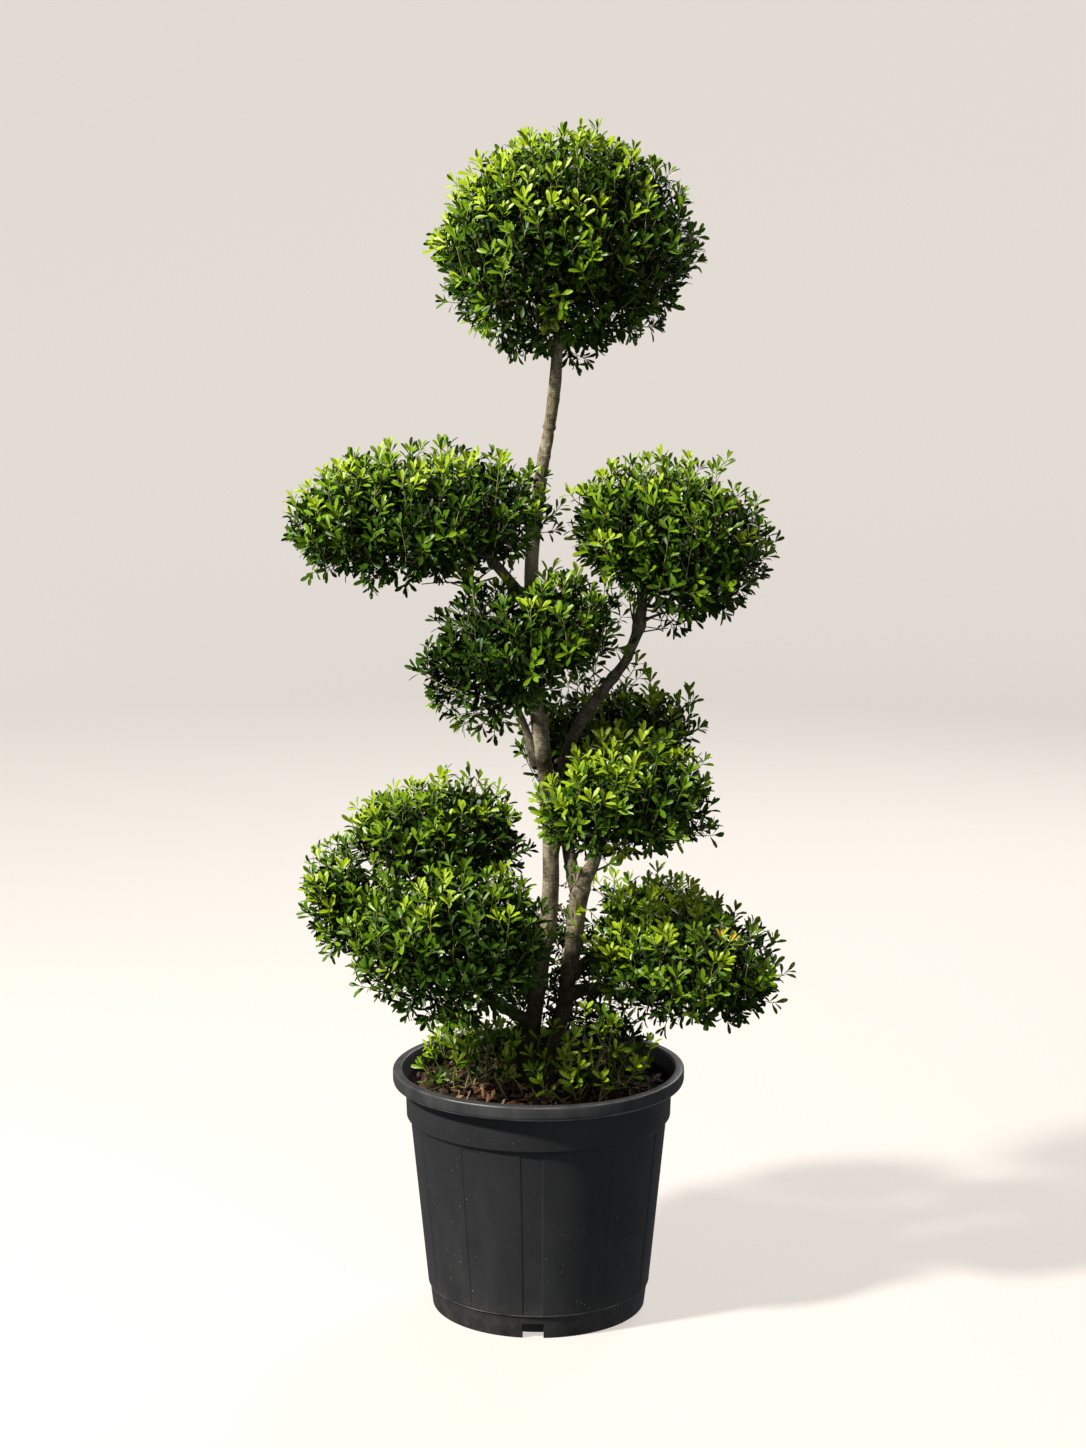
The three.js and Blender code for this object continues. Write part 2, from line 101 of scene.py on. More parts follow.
# clouds: lobes of (middle, reach to left, right, front, back, up, down, lean in degrees) in
# millimetres, the limb that feeds it, and how it looks. clip says how much closer than the
# solid each side is clipped, at angles from +X over +Z, and where less is longer growth. dim
# says where leaves are dealt darker colours as painted shade, and with a negative amount lighter
# ones as painted light: (middle, reach, how much). A negative lift deals a whole cloud darker
# colours as painted shade, a positive one lighter colours as painted light. leaders are tips of
# tall young shoots
CLOUDS = {
    "foliage_top": dict(
        lobes=[((31, 0, 1440), (178, 174, 168, 168, 155, 150), 0)],
        roots=[("trunk", 1.0), ("trunk", 0.965)],
        seed=11,
        spacing=20,
        stray=0.03,
        clip=[(-70, 8), (-50, 12), (-30, -7), (10, 0), (50, 5), (70, 1), (90, 11), (110, 16), (130, 24), (150, 19),
              (170, 3), (190, 0), (210, -10), (250, -7)],
        leaders=[(76, -20, 1589), (33, -30, 1582), (-10, -20, 1577), (-50, 30, 1547), (60, 60, 1576)],
        dim=[((120, -90, 1450), 110, -0.14), ((-70, -90, 1530), 110, 0.18)],
    ),
    "foliage_upper_left": dict(
        lobes=[((-163, -50, 1086), (168, 170, 112, 108, 98, 92), -4)],
        roots=[("bough_upper_left", 1.0)],
        seed=12,
        spacing=20,
        stray=0.05,
        clip=[(-60, 0), (-30, 0), (-10, -10), (12, -13), (30, 0), (50, 13), (70, 8), (90, 10), (110, 7), (130, 0), (150, 5), (170, 4), (190, -12), (210, 6),
              (230, -2), (250, 4)],
        leaders=[(-193, -60, 1180), (-128, -60, 1184), (-243, -40, 1166), (-170, 10, 1176)],
        dim=[((-215, -150, 1082), 84, 0.4), ((-140, -150, 1082), 60, 0.25)],
    ),
    "foliage_upper_right": dict(
        lobes=[((178, -28, 1060), (148, 128, 118, 112, 108, 116), 17)],
        roots=[("bough_upper_right", 1.0)],
        seed=13,
        spacing=20,
        stray=0.05,
        gold=0.012,
        clear=[((132, -30, 955), 34), ((140, -75, 965), 30), ((136, -45, 985), 24)],
        clip=[(-70, -8), (-50, 0), (-30, -10), (10, -5), (30, 2), (50, 12), (70, 14), (90, 10), (110, 24), (130, 15),
              (150, 3), (180, 0), (205, 8), (225, 14), (245, 8)],
        leaders=[(161, -40, 1168), (199, -20, 1162), (96, -40, 1152), (170, 40, 1152)],
        dim=[((110, -80, 1140), 70, 0.2), ((220, -80, 1150), 70, 0.2), ((260, -90, 1060), 70, -0.2)],
    ),
    "foliage_center": dict(
        lobes=[((-25, -95, 925), (134, 136, 96, 90, 96, 90), -21)],
        roots=[("bough_center", 1.0)],
        seed=14,
        spacing=20,
        stray=0.05,
        lift=-0.16,
        clip=[(5, 0), (60, -5), (72, 10), (90, 24), (103, 14), (112, -15), (130, -34), (150, 6), (170, 8), (190, -1), (210, -18), (230, -32), (250, -26),
              (280, 0), (295, 8), (312, 17), (335, 20), (350, 10)],
        leaders=[(50, -95, 1020), (20, -95, 1028), (88, -90, 1014)],
        dim=[((-105, -130, 944), 84, 1.0), ((-38, -130, 984), 54, 0.75), ((-108, -150, 908), 66, 0.85), ((-100, -110, 846), 48, -0.55), ((20, -160, 960), 60, -0.15)],
        # the sun comes past its back to this stretch of the trunk
        open_to=[(10, -7, 730), (6, -8, 764), (0, -9, 805)],
    ),
    "foliage_back_right": dict(
        lobes=[((95, 125, 766), (126, 126, 88, 86, 78, 74), -8)],
        roots=[("bough_back_right", 1.0)],
        seed=15,
        spacing=18,
        stray=0.05,
        lift=-0.42,
        leaders=[(154, 110, 854), (207, 110, 836)],
    ),
    "foliage_mid_right": dict(
        lobes=[((108, -105, 723), (130, 128, 98, 88, 90, 84), -4)],
        roots=[("bough_mid_right", 1.0)],
        seed=16,
        spacing=20,
        stray=0.07,
        gold=0.015,
        clear=[((24, -85, 778), 34), ((20, -130, 786), 34)],
        clip=[(-60, 0), (-40, -7), (-20, -12), (0, -12), (20, 9), (40, 0), (108, 0), (125, 14), (145, 19), (165, 20),
              (182, 8), (205, 0)],
        leaders=[(103, -100, 815), (138, -104, 812), (84, -104, 803), (66, -110, 792), (164, -90, 800), (96, -140, 796)],
    ),
    "foliage_left_back": dict(
        lobes=[
            ((-150, 92, 630), (134, 132, 96, 100, 95, 92), -10),
            ((-246, 48, 556), (90, 92, 84, 88, 88, 88), 0),
        ],
        roots=[("bough_left_back", 1.0)],
        seed=17,
        spacing=20,
        stray=0.05,
        lift=-0.06,
        clip=[(20, 0), (50, 11), (70, 14), (90, 9), (110, 8), (130, 12), (150, -5), (170, -3), (190, 8), (210, 0),
              (230, -3), (250, 0)],
        leaders=[(-136, 80, 723), (-95, 80, 727), (-199, 70, 708)],
        dim=[((-70, 0, 608), 62, 0.6), ((-148, 0, 584), 44, 0.6), ((-190, 10, 560), 40, 0.5)],
        full_below=0.6,
    ),
    "foliage_left_front": dict(
        lobes=[((-108, -130, 533), (136, 134, 104, 96, 107, 102), -3)],
        roots=[("bough_left_front", 1.0)],
        seed=19,
        spacing=20,
        stray=0.05,
        lift=-0.28,
        clip=[(200, 0), (230, -9), (250, -20), (270, -20), (290, -8), (310, 0)],
        leaders=[(-201, -120, 619), (-116, -120, 624), (-45, -120, 630)],
        dim=[((-37, -190, 496), 84, 0.7), ((-100, -200, 540), 60, 0.4), ((-150, -170, 590), 50, -0.15)],
    ),
    "foliage_right_front": dict(
        lobes=[((194, -62, 488), (136, 136, 108, 92, 78, 80), 10)],
        roots=[("bough_lower_right", 1.0)],
        seed=20,
        spacing=20,
        stray=0.07,
        lift=-0.08,
        gold=0.012,
        clip=[(-80, -3), (-60, 0), (-20, 0), (0, -3), (20, -15), (40, -18), (60, -14), (80, 0), (110, 6)],
        leaders=[(203, -50, 596), (150, -70, 588), (240, -50, 574), (110, -60, 580)],
    ),
    "foliage_right_back": dict(
        lobes=[((172, 100, 526), (94, 94, 76, 80, 52, 58), 7)],
        roots=[("bough_lower_right_back", 1.0)],
        seed=21,
        spacing=20,
        stray=0.05,
    ),
}

# small masses of shoots round the foot, which light shows through
FEET = {
    "foliage_foot_left": dict(
        lobes=[((-88, -6, 338), (78, 82, 62, 78, 72, 60), 0)],
        bases=[(-34, -22), (-46, 12), (-70, -14), (-96, 4), (-112, 28), (-60, 34), (-88, -34)],
        seed=22,
        spacing=24,
        # painted light: lift deals these leaves lighter colours
        lift=0.50,
    ),
    "foliage_foot_right": dict(
        lobes=[((88, -8, 342), (84, 80, 66, 78, 78, 60), 0)],
        bases=[(40, -20), (54, 14), (78, -16), (100, 6), (116, 30), (66, 36), (92, -38), (44, -62), (84, -66)],
        seed=23,
        spacing=24,
        # painted shade: lift deals most of these leaves dark colours
        lift=-0.75,
        # tips of shoots that lean out over the face side, into the sun
        front=[(47, -152, 419), (68, -148, 401), (35, -150, 394), (53, -150, 376), (60, -164, 457), (82, -160, 450),
               (97, -152, 436), (79, -152, 424), (42, -146, 358), (84, -140, 356), (118, -124, 386), (104, -136, 395),
               (150, -108, 396), (132, -116, 368), (4, -150, 352), (-8, -150, 372)],
    ),
}


# ------------------------------------------------------------------ numbers
def unit(v):
    return v / np.maximum(np.linalg.norm(v, axis=-1, keepdims=True), 1e-12)


def lattice(i, j, k, seed):
    h = (
        i * np.int64(374761393) + j * np.int64(668265263) + k * np.int64(1274126177)
        + np.int64(seed) * np.int64(362437)
    ) & np.int64(0xFFFFFFFF)
    h = ((h ^ (h >> 13)) * np.int64(1103515245)) & np.int64(0xFFFFFFFF)
    h = ((h ^ (h >> 15)) * np.int64(668265263)) & np.int64(0xFFFFFFFF)
    return ((h ^ (h >> 16)) & np.int64(0xFFFF)) / 32767.5 - 1.0


def noise(p, seed=0):
    """Smooth uneven values from -1 to 1 over points in units of one lump."""
    p = np.asarray(p, dtype=float)
    cell = np.floor(p)
    f = p - cell
    u = f * f * (3 - 2 * f)
    i, j, k = (cell[..., n].astype(np.int64) for n in range(3))
    total = 0
    for a in (0, 1):
        wa = u[..., 0] if a else 1 - u[..., 0]
        for b in (0, 1):
            wb = u[..., 1] if b else 1 - u[..., 1]
            for c in (0, 1):
                wc = u[..., 2] if c else 1 - u[..., 2]
                total = total + wa * wb * wc * lattice(i + a, j + b, k + c, seed)
    return total


def smooth(edge0, edge1, x):
    t = np.clip((x - edge0) / (edge1 - edge0), 0, 1)
    return t * t * (3 - 2 * t)


# ------------------------------------------------------------------ meshes
def mesh_object(name, verts, faces, material, smooth_shade=True, index=None):
    """verts (n,3) and a list of face arrays, each (m,3) or (m,4), as one mesh object."""
    verts = np.asarray(verts, dtype=np.float32)
    loops = np.concatenate([np.asarray(f, dtype=np.int32).ravel() for f in faces])
    counts = np.concatenate([np.full(len(f), f.shape[1], dtype=np.int32) for f in faces])
    starts = np.concatenate([[0], np.cumsum(counts)[:-1]]).astype(np.int32)
    me = bpy.data.meshes.new(name)
    me.vertices.add(len(verts))
    me.vertices.foreach_set("co", verts.ravel())
    me.loops.add(len(loops))
    me.loops.foreach_set("vertex_index", loops)
    me.polygons.add(len(counts))
    me.polygons.foreach_set("loop_start", starts)
    mats = material if isinstance(material, (list, tuple)) else [material]
    for m in mats:
        me.materials.append(m)
    if index is not None:
        me.polygons.foreach_set("material_index", np.asarray(index, dtype=np.int32))
    me.polygons.foreach_set("use_smooth", np.full(len(counts), smooth_shade, dtype=bool))
    me.update(calc_edges=True)
    me.validate()
    ob = bpy.data.objects.new(name, me)
    bpy.context.scene.collection.objects.link(ob)
    return ob


def piece(name, verts, faces, material, nodes=(), smooth_shade=True, index=None):
    ob = mesh_object(name, verts, faces, material, smooth_shade, index)
    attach(ob, "root")
    if nodes:
        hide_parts(*nodes)
    return ob


def frames_along(path):
    """Tangents and two square-on directions at each point of paths (n, k, 3), untwisted."""
    t = np.empty_like(path)
    t[:, 1:-1] = path[:, 2:] - path[:, :-2]
    t[:, 0] = path[:, 1] - path[:, 0]
    t[:, -1] = path[:, -1] - path[:, -2]
    t = unit(t)
    u = np.empty_like(path)
    side = np.where(np.abs(t[:, 0, 2:3]) > 0.9, [[1.0, 0, 0]], [[0, 0, 1.0]])
    u0 = unit(np.cross(t[:, 0], side))
    u[:, 0] = u0
    for i in range(1, path.shape[1]):
        u0 = unit(u0 - t[:, i] * np.sum(u0 * t[:, i], axis=1, keepdims=True))
        u[:, i] = u0
    return t, u, np.cross(t, u)


def tubes(path, radius, sides, close=False):
    """Round twigs: paths (n, k, 3) and radii (n, k) as vertices and quads."""
    n, k = radius.shape
    _, u, v = frames_along(path)
    turn = np.arange(sides) * (2 * np.pi / sides)
    ring = (
        path[:, :, None]
        + radius[:, :, None, None]
        * (np.cos(turn)[None, None, :, None] * u[:, :, None]
           + np.sin(turn)[None, None, :, None] * v[:, :, None])
    )
    verts = ring.reshape(-1, 3)
    base = (np.arange(n) * k * sides)[:, None, None]
    row = (np.arange(k - 1) * sides)[None, :, None]
    a = np.arange(sides)[None, None, :]
    b = (a + 1) % sides
    quads = np.stack([base + row + a, base + row + b, base + row + sides + b, base + row + sides + a], -1)
    faces = [quads.reshape(-1, 4)]
    if close:
        # a fan over the far end
        tip = len(verts) + np.arange(n)
        verts = np.concatenate([verts, path[:, -1] + (path[:, -1] - path[:, -2]) * 0.15])
        last = (np.arange(n) * k * sides + (k - 1) * sides)[:, None]
        s = np.arange(sides)[None]
        faces.append(np.stack([last + s, last + (s + 1) % sides, np.repeat(tip[:, None], sides, 1)], -1).reshape(-1, 3))
    return verts, faces


class Heap:
    """Collects vertices and faces of many small things for one piece."""

    def __init__(self):
        self.v, self.f, self.n = [], [], 0

    def add(self, verts, faces):
        if len(verts) == 0:
            return
        self.v.append(np.asarray(verts))
        for f in faces:
            self.f.append(np.asarray(f) + self.n)
        self.n += len(verts)

    def empty(self):
        return self.n == 0

    def triangles(self):
        return int(sum(len(f) * (f.shape[1] - 2) for f in self.f))

    def make(self, name, material, slot, nodes=(), smooth_shade=True):
        return piece(name, np.concatenate(self.v), self.f, material, nodes, smooth_shade)


# One leaf lying along +y with its upper side to +z, unit length and unit half width.
LEAF_FINE = (
    np.array([
        (0, 0, 0),
        (-1.0, 0.63, 1), (0, 0.60, 0), (1.0, 0.63, 1),
        (-0.76, 0.89, 0.8), (0, 0.89, 0), (0.76, 0.89, 0.8),
        (0, 1.0, 0),
    ]),
    [
        np.array([(0, 2, 1), (0, 3, 2), (4, 5, 7), (5, 6, 7)]),
        np.array([(1, 2, 5, 4), (2, 3, 6, 5)]),
    ],
)
LEAF_PLAIN = (
    np.array([(0, 0, 0), (-0.95, 0.58, 0.4), (0.95, 0.58, 0.4), (-0.7, 0.9, 0.4), (0.7, 0.9, 0.4), (0, 1.0, 0)]),
    [np.array([(0, 2, 1), (3, 4, 5)]), np.array([(1, 2, 4, 3)])],
)


def leaves(shape, at, along, face, length, width, fold, curl):
    """Leaves at points, lying along directions with their upper side to face."""
    template, tfaces = shape
    y = unit(along)
    z = unit(face - y * np.sum(face * y, axis=1, keepdims=True))
    x = np.cross(y, z)
    tx, ty, tz = template[:, 0], template[:, 1], template[:, 2]
    verts = (
        at[:, None]
        + x[:, None] * (tx[None] * width[:, None])[..., None]
        + y[:, None] * (ty[None] * length[:, None])[..., None]
        + z[:, None]
        * (tz[None] * (fold * width)[:, None] - (ty[None] ** 2) * (curl * length)[:, None])[..., None]
    )
    n, m = len(at), len(template)
    base = (np.arange(n) * m)[:, None, None]
    return verts.reshape(-1, 3), [(base + f[None]).reshape(-1, f.shape[1]) for f in tfaces]


# ------------------------------------------------------------------ materials
def new_material(name):
    m = bpy.data.materials.new(name)
    m.use_nodes = True
    nt = m.node_tree
    bsdf = next(n for n in nt.nodes if n.type == "BSDF_PRINCIPLED")
    return m, nt, bsdf


def node(nt, kind, **values):
    n = nt.nodes.new(kind)
    for key, value in values.items():
        if key.startswith("in_"):
            n.inputs[key[3:].replace("_", " ")].default_value = value
        else:
            setattr(n, key, value)
    return n


def ramp(nt, source, stops):
    r = nt.nodes.new("ShaderNodeValToRGB")
    e = r.color_ramp.elements
    while len(e) > 1:
        e.remove(e[-1])
    e[0].position, e[0].color = stops[0][0], stops[0][1]
    for pos, col in stops[1:]:
        e.new(pos).color = col
    nt.links.new(source, r.inputs["Fac"])
    return r


def grey(v):
    return (v, v, v, 1)


def leaf_material(name, colour, rough, shine=0.5):
    m, nt, b = new_material(name)
    b.inputs["Base Color"].default_value = (*colour, 1)
    b.inputs["Roughness"].default_value = rough
    b.inputs["Specular IOR Level"].default_value = shine
    return m


LEAF_COLOURS = {
    "lime": leaf_material("leaf_lime", (0.300, 0.418, 0.010), 0.40, 0.34),
    "fresh": leaf_material("leaf_fresh", (0.158, 0.274, 0.006), 0.37, 0.29),
    "green": leaf_material("leaf_green", (0.073, 0.156, 0.004), 0.36, 0.24),
    "deep": leaf_material("leaf_deep", (0.028, 0.069, 0.003), 0.38, 0.17),
    "shade": leaf_material("leaf_shade", (0.0085, 0.023, 0.002), 0.50, 0.07),
    "gold": leaf_material("leaf_gold", (0.800, 0.560, 0.020), 0.42, 0.4),
    "amber": leaf_material("leaf_amber", (0.780, 0.440, 0.024), 0.45, 0.35),
}
TWIG_COLOURS = {
    "wood": leaf_material("twig_wood", (0.150, 0.118, 0.072), 0.75, 0.3),
    "green": leaf_material("twig_green", (0.225, 0.240, 0.060), 0.6, 0.35),
}


def bark_material(name, dark, mid, pale, pale_from, painted_light_part=0.0):
    """Smooth grey-brown bark: mottling, pale lichen film, darker bands and small lenticels."""
    m, nt, b = new_material(name)
    L = nt.links.new
    at = node(nt, "ShaderNodeTexCoord").outputs["Object"]
    flat = node(nt, "ShaderNodeMapping", vector_type="POINT")
    flat.inputs["Scale"].default_value = (1, 1, 2.6)
    L(at, flat.inputs["Vector"])
    blotch = node(nt, "ShaderNodeTexNoise", in_Scale=46.0, in_Detail=6.0, in_Roughness=0.62)
    L(at, blotch.inputs["Vector"])
    base = ramp(nt, blotch.outputs["Fac"], [(0.30, dark), (0.5, mid), (pale_from, pale)])
    bands = node(nt, "ShaderNodeTexNoise", in_Scale=150.0, in_Detail=4.0, in_Roughness=0.6)
    L(flat.outputs["Vector"], bands.inputs["Vector"])
    dark_bands = ramp(nt, bands.outputs["Fac"], [(0.38, grey(0.30)), (0.55, grey(1.0))])
    mix = node(nt, "ShaderNodeMix", data_type="RGBA", blend_type="MULTIPLY")
    mix.inputs["Factor"].default_value = 0.75
    L(base.outputs["Color"], mix.inputs[6])
    L(dark_bands.outputs["Color"], mix.inputs[7])
    # long fine streaks
    drawn = node(nt, "ShaderNodeMapping", vector_type="POINT")
    drawn.inputs["Scale"].default_value = (1, 1, 0.11)
    L(at, drawn.inputs["Vector"])
    streak = node(nt, "ShaderNodeTexNoise", in_Scale=330.0, in_Detail=4.0, in_Roughness=0.6)
    L(drawn.outputs["Vector"], streak.inputs["Vector"])
    lines = ramp(nt, streak.outputs["Fac"], [(0.36, grey(0.55)), (0.62, grey(1.0))])
    streaked = node(nt, "ShaderNodeMix", data_type="RGBA", blend_type="MULTIPLY")
    streaked.inputs["Factor"].default_value = 0.8
    L(mix.outputs[2], streaked.inputs[6])
    L(lines.outputs["Color"], streaked.inputs[7])
    mix = streaked
    spots = node(nt, "ShaderNodeTexVoronoi", in_Scale=330.0, in_Randomness=1.0)
    L(flat.outputs["Vector"], spots.inputs["Vector"])
    dot = ramp(nt, spots.outputs["Distance"], [(0.10, grey(1.0)), (0.24, grey(0.0))])
    lent = node(nt, "ShaderNodeMix", data_type="RGBA")
    L(dot.outputs["Color"], lent.inputs["Factor"])
    L(mix.outputs[2], lent.inputs[6])
    lent.inputs[7].default_value = tuple(min(1.0, c * 1.5) for c in pale[:3]) + (1,)
    # darker towards the foot as painted shade, with a little greenish moss tint
    split = node(nt, "ShaderNodeSeparateXYZ")
    L(at, split.inputs[0])
    height = node(nt, "ShaderNodeMapRange", interpolation_type="SMOOTHSTEP")
    height.inputs["From Min"].default_value = 0.42
    height.inputs["From Max"].default_value = 0.565
    L(split.outputs["Z"], height.inputs["Value"])
    shade_and_moss = node(nt, "ShaderNodeMix", data_type="RGBA", blend_type="MULTIPLY")
    shade_and_moss.inputs["Factor"].default_value = 1.0
    L(lent.outputs[2], shade_and_moss.inputs[6])
    tint = ramp(nt, height.outputs[0], [(0.0, (0.17, 0.19, 0.13, 1)), (1.0, grey(1.0))])
    L(tint.outputs["Color"], shade_and_moss.inputs[7])
    # painted light: a paler stretch of the trunk above the centre cloud
    painted_light_band = node(nt, "ShaderNodeMapRange")
    painted_light_band.inputs["From Min"].default_value = 0.975
    painted_light_band.inputs["From Max"].default_value = 1.065
    L(split.outputs["Z"], painted_light_band.inputs["Value"])
    amount = ramp(nt, painted_light_band.outputs[0], [(0.0, grey(0.0)), (0.25, grey(painted_light_part)), (0.7, grey(painted_light_part)), (1.0, grey(0.0))])
    paler = node(nt, "ShaderNodeMix", data_type="RGBA")
    L(amount.outputs["Color"], paler.inputs["Factor"])
    L(shade_and_moss.outputs[2], paler.inputs[6])
    paler.inputs[7].default_value = tuple(min(1.0, c * 1.25) for c in pale[:3]) + (1,)
    L(paler.outputs[2], b.inputs["Base Color"])
    rough = ramp(nt, blotch.outputs["Fac"], [(0.3, grey(0.74)), (0.7, grey(0.9))])
    L(rough.outputs["Color"], b.inputs["Roughness"])
    b.inputs["Specular IOR Level"].default_value = 0.3
    grain = node(nt, "ShaderNodeTexNoise", in_Scale=420.0, in_Detail=5.0, in_Roughness=0.7)
    L(flat.outputs["Vector"], grain.inputs["Vector"])
    bump = node(nt, "ShaderNodeBump", in_Strength=0.6, in_Distance=0.0012)
    L(grain.outputs["Fac"], bump.inputs["Height"])
    bump2 = node(nt, "ShaderNodeBump", in_Strength=0.5, in_Distance=0.0018)
    L(bands.outputs["Fac"], bump2.inputs["Height"])
    L(bump.outputs["Normal"], bump2.inputs["Normal"])
    L(bump2.outputs["Normal"], b.inputs["Normal"])
    return m


BARK = bark_material(
    "bark_grey_brown", (0.095, 0.072, 0.042, 1), (0.290, 0.235, 0.145, 1), (0.510, 0.440, 0.310, 1), 0.66, 0.5
)
# painted shade: a darker copy of the bark for boughs that lie in the clouds' shadow
BARK_SHADED = bark_material(
    "bark_painted_shade", (0.075, 0.056, 0.040, 1), (0.190, 0.150, 0.112, 1), (0.380, 0.320, 0.250, 1), 0.72
)


def pot_material():
    """Charcoal moulded plastic: fine mould grain, scratches, white specks, dust low down."""
    m, nt, b = new_material("pot_charcoal_plastic")
    L = nt.links.new
    at = node(nt, "ShaderNodeTexCoord").outputs["Object"]
    split = node(nt, "ShaderNodeSeparateXYZ")
    L(at, split.inputs[0])

    def noise_at(scale, detail=4.0, rough=0.55, stretch=None):
        n = node(nt, "ShaderNodeTexNoise", in_Scale=scale, in_Detail=detail, in_Roughness=rough)
        if stretch:
            mp = node(nt, "ShaderNodeMapping")
            mp.inputs["Scale"].default_value = stretch
            L(at, mp.inputs["Vector"])
            L(mp.outputs["Vector"], n.inputs["Vector"])
        else:
            L(at, n.inputs["Vector"])
        return n.outputs["Fac"]

    def math_node(op, a, c=None, clamp=False):
        n = node(nt, "ShaderNodeMath", operation=op, use_clamp=clamp)
        for i, v in enumerate((a, c)):
            if v is None:
                continue
            if isinstance(v, (int, float)):
                n.inputs[i].default_value = v
            else:
                L(v, n.inputs[i])
        return n.outputs[0]

    def over(below, factor, colour):
        mx = node(nt, "ShaderNodeMix", data_type="RGBA")
        L(factor, mx.inputs["Factor"])
        L(below, mx.inputs[6])
        mx.inputs[7].default_value = colour
        return mx.outputs[2]

    tone = ramp(nt, noise_at(9.0, 5.0), [(0.3, (0.0210, 0.0217, 0.0230, 1)), (0.7, (0.0300, 0.0307, 0.0320, 1))])
    colour = tone.outputs["Color"]
    # a greyish film of dust, more of it low down and in streaks
    low = node(nt, "ShaderNodeMapRange")
    low.inputs["From Min"].default_value = 0.26
    low.inputs["From Max"].default_value = 0.0
    low.inputs["To Min"].default_value = 0.10
    low.inputs["To Max"].default_value = 0.75
    L(split.outputs["Z"], low.inputs["Value"])
    streaks = ramp(nt, noise_at(30.0, 6.0, 0.6, (1, 1, 0.35)), [(0.35, grey(0.15)), (0.75, grey(1.0))])
    film = math_node("MULTIPLY", low.outputs[0], streaks.outputs["Color"])
    film = math_node("MULTIPLY", film, 0.26)
    colour = over(colour, film, (0.146, 0.149, 0.152, 1))
    # brownish soil splash just over the ground
    splash_low = node(nt, "ShaderNodeMapRange")
    splash_low.inputs["From Min"].default_value = 0.055
    splash_low.inputs["From Max"].default_value = 0.0
    L(split.outputs["Z"], splash_low.inputs["Value"])
    splash = ramp(nt, noise_at(70.0, 8.0, 0.7), [(0.42, grey(0.0)), (0.62, grey(1.0))])
    mud = math_node("MULTIPLY", splash_low.outputs[0], splash.outputs["Color"])
    mud = math_node("MULTIPLY", mud, 0.30)
    colour = over(colour, mud, (0.155, 0.130, 0.085, 1))
    # the rolled rim is paler than the wall, in streaks
    top = node(nt, "ShaderNodeMapRange")
    top.inputs["From Min"].default_value = 0.312
    top.inputs["From Max"].default_value = 0.318
    L(split.outputs["Z"], top.inputs["Value"])
    rim_paler = math_node("MULTIPLY", top.outputs[0], streaks.outputs["Color"])
    rim_paler = math_node("MULTIPLY", rim_paler, 0.36)
    colour = over(colour, rim_paler, (0.150, 0.152, 0.154, 1))
    # white specks, and short pale scratches
    specks = node(nt, "ShaderNodeTexVoronoi", in_Scale=120.0, in_Randomness=1.0)
    L(at, specks.inputs["Vector"])
    speck = ramp(nt, specks.outputs["Distance"], [(0.055, grey(1.0)), (0.12, grey(0.0))])
    some = ramp(nt, noise_at(14.0, 3.0), [(0.50, grey(0.0)), (0.64, grey(1.0))])
    speck_all = math_node("MULTIPLY", speck.outputs["Color"], some.outputs["Color"])
    speck_all = math_node("MULTIPLY", speck_all, math_node("ADD", low.outputs[0], 0.15, True))
    colour = over(colour, speck_all, (0.50, 0.50, 0.48, 1))
    scratch = ramp(
        nt, noise_at(36.0, 9.0, 0.75, (2.2, 2.2, 9.0)), [(0.655, grey(0.0)), (0.70, grey(0.55))]
    )
    colour = over(colour, scratch.outputs["Color"], (0.210, 0.210, 0.205, 1))
    # a pale line of uneven strength on the ledge over the foot band
    ledge = node(nt, "ShaderNodeMath", operation="COMPARE")
    L(split.outputs["Z"], ledge.inputs[0])
    ledge.inputs[1].default_value = 0.0322
    ledge.inputs[2].default_value = 0.0012
    patchy = ramp(nt, noise_at(26.0, 5.0, 0.6), [(0.40, grey(0.1)), (0.62, grey(0.9))])
    ledge_line = math_node("MULTIPLY", ledge.outputs[0], patchy.outputs["Color"])
    colour = over(colour, ledge_line, (0.330, 0.330, 0.320, 1))
    # thin pale lines of uneven strength along the rim's lower lip and its top outer edge
    flat = node(nt, "ShaderNodeCombineXYZ")
    L(split.outputs["X"], flat.inputs[0])
    L(split.outputs["Y"], flat.inputs[1])
    reach = node(nt, "ShaderNodeVectorMath", operation="LENGTH")
    L(flat.outputs[0], reach.inputs[0])
    outside = math_node("GREATER_THAN", reach.outputs["Value"], 0.1974)
    for z, half, strong in ((0.3166, 0.0011, 0.75), (0.3338, 0.0008, 0.35)):
        edge = node(nt, "ShaderNodeMath", operation="COMPARE")
        L(split.outputs["Z"], edge.inputs[0])
        edge.inputs[1].default_value = z
        edge.inputs[2].default_value = half
        edge_line = math_node("MULTIPLY", edge.outputs[0], outside)
        edge_line = math_node("MULTIPLY", edge_line, patchy.outputs["Color"])
        edge_line = math_node("MULTIPLY", edge_line, strong)
        colour = over(colour, edge_line, (0.300, 0.300, 0.295, 1))
    L(colour, b.inputs["Base Color"])
    rough = node(nt, "ShaderNodeMix", data_type="RGBA")
    L(film, rough.inputs["Factor"])
    base_rough = ramp(nt, noise_at(22.0, 6.0, 0.65), [(0.3, grey(0.31)), (0.7, grey(0.43))])
    L(base_rough.outputs["Color"], rough.inputs[6])
    rough.inputs[7].default_value = grey(0.85)
    L(rough.outputs[2], b.inputs["Roughness"])
    b.inputs["Specular IOR Level"].default_value = 0.5
    bump = node(nt, "ShaderNodeBump", in_Strength=0.25, in_Distance=0.0006)
    L(noise_at(520.0, 4.0, 0.6), bump.inputs["Height"])
    wavy = node(nt, "ShaderNodeBump", in_Strength=0.20, in_Distance=0.004)
    L(noise_at(11.0, 2.0, 0.4), wavy.inputs["Height"])
    L(bump.outputs["Normal"], wavy.inputs["Normal"])
    L(wavy.outputs["Normal"], b.inputs["Normal"])
    return m


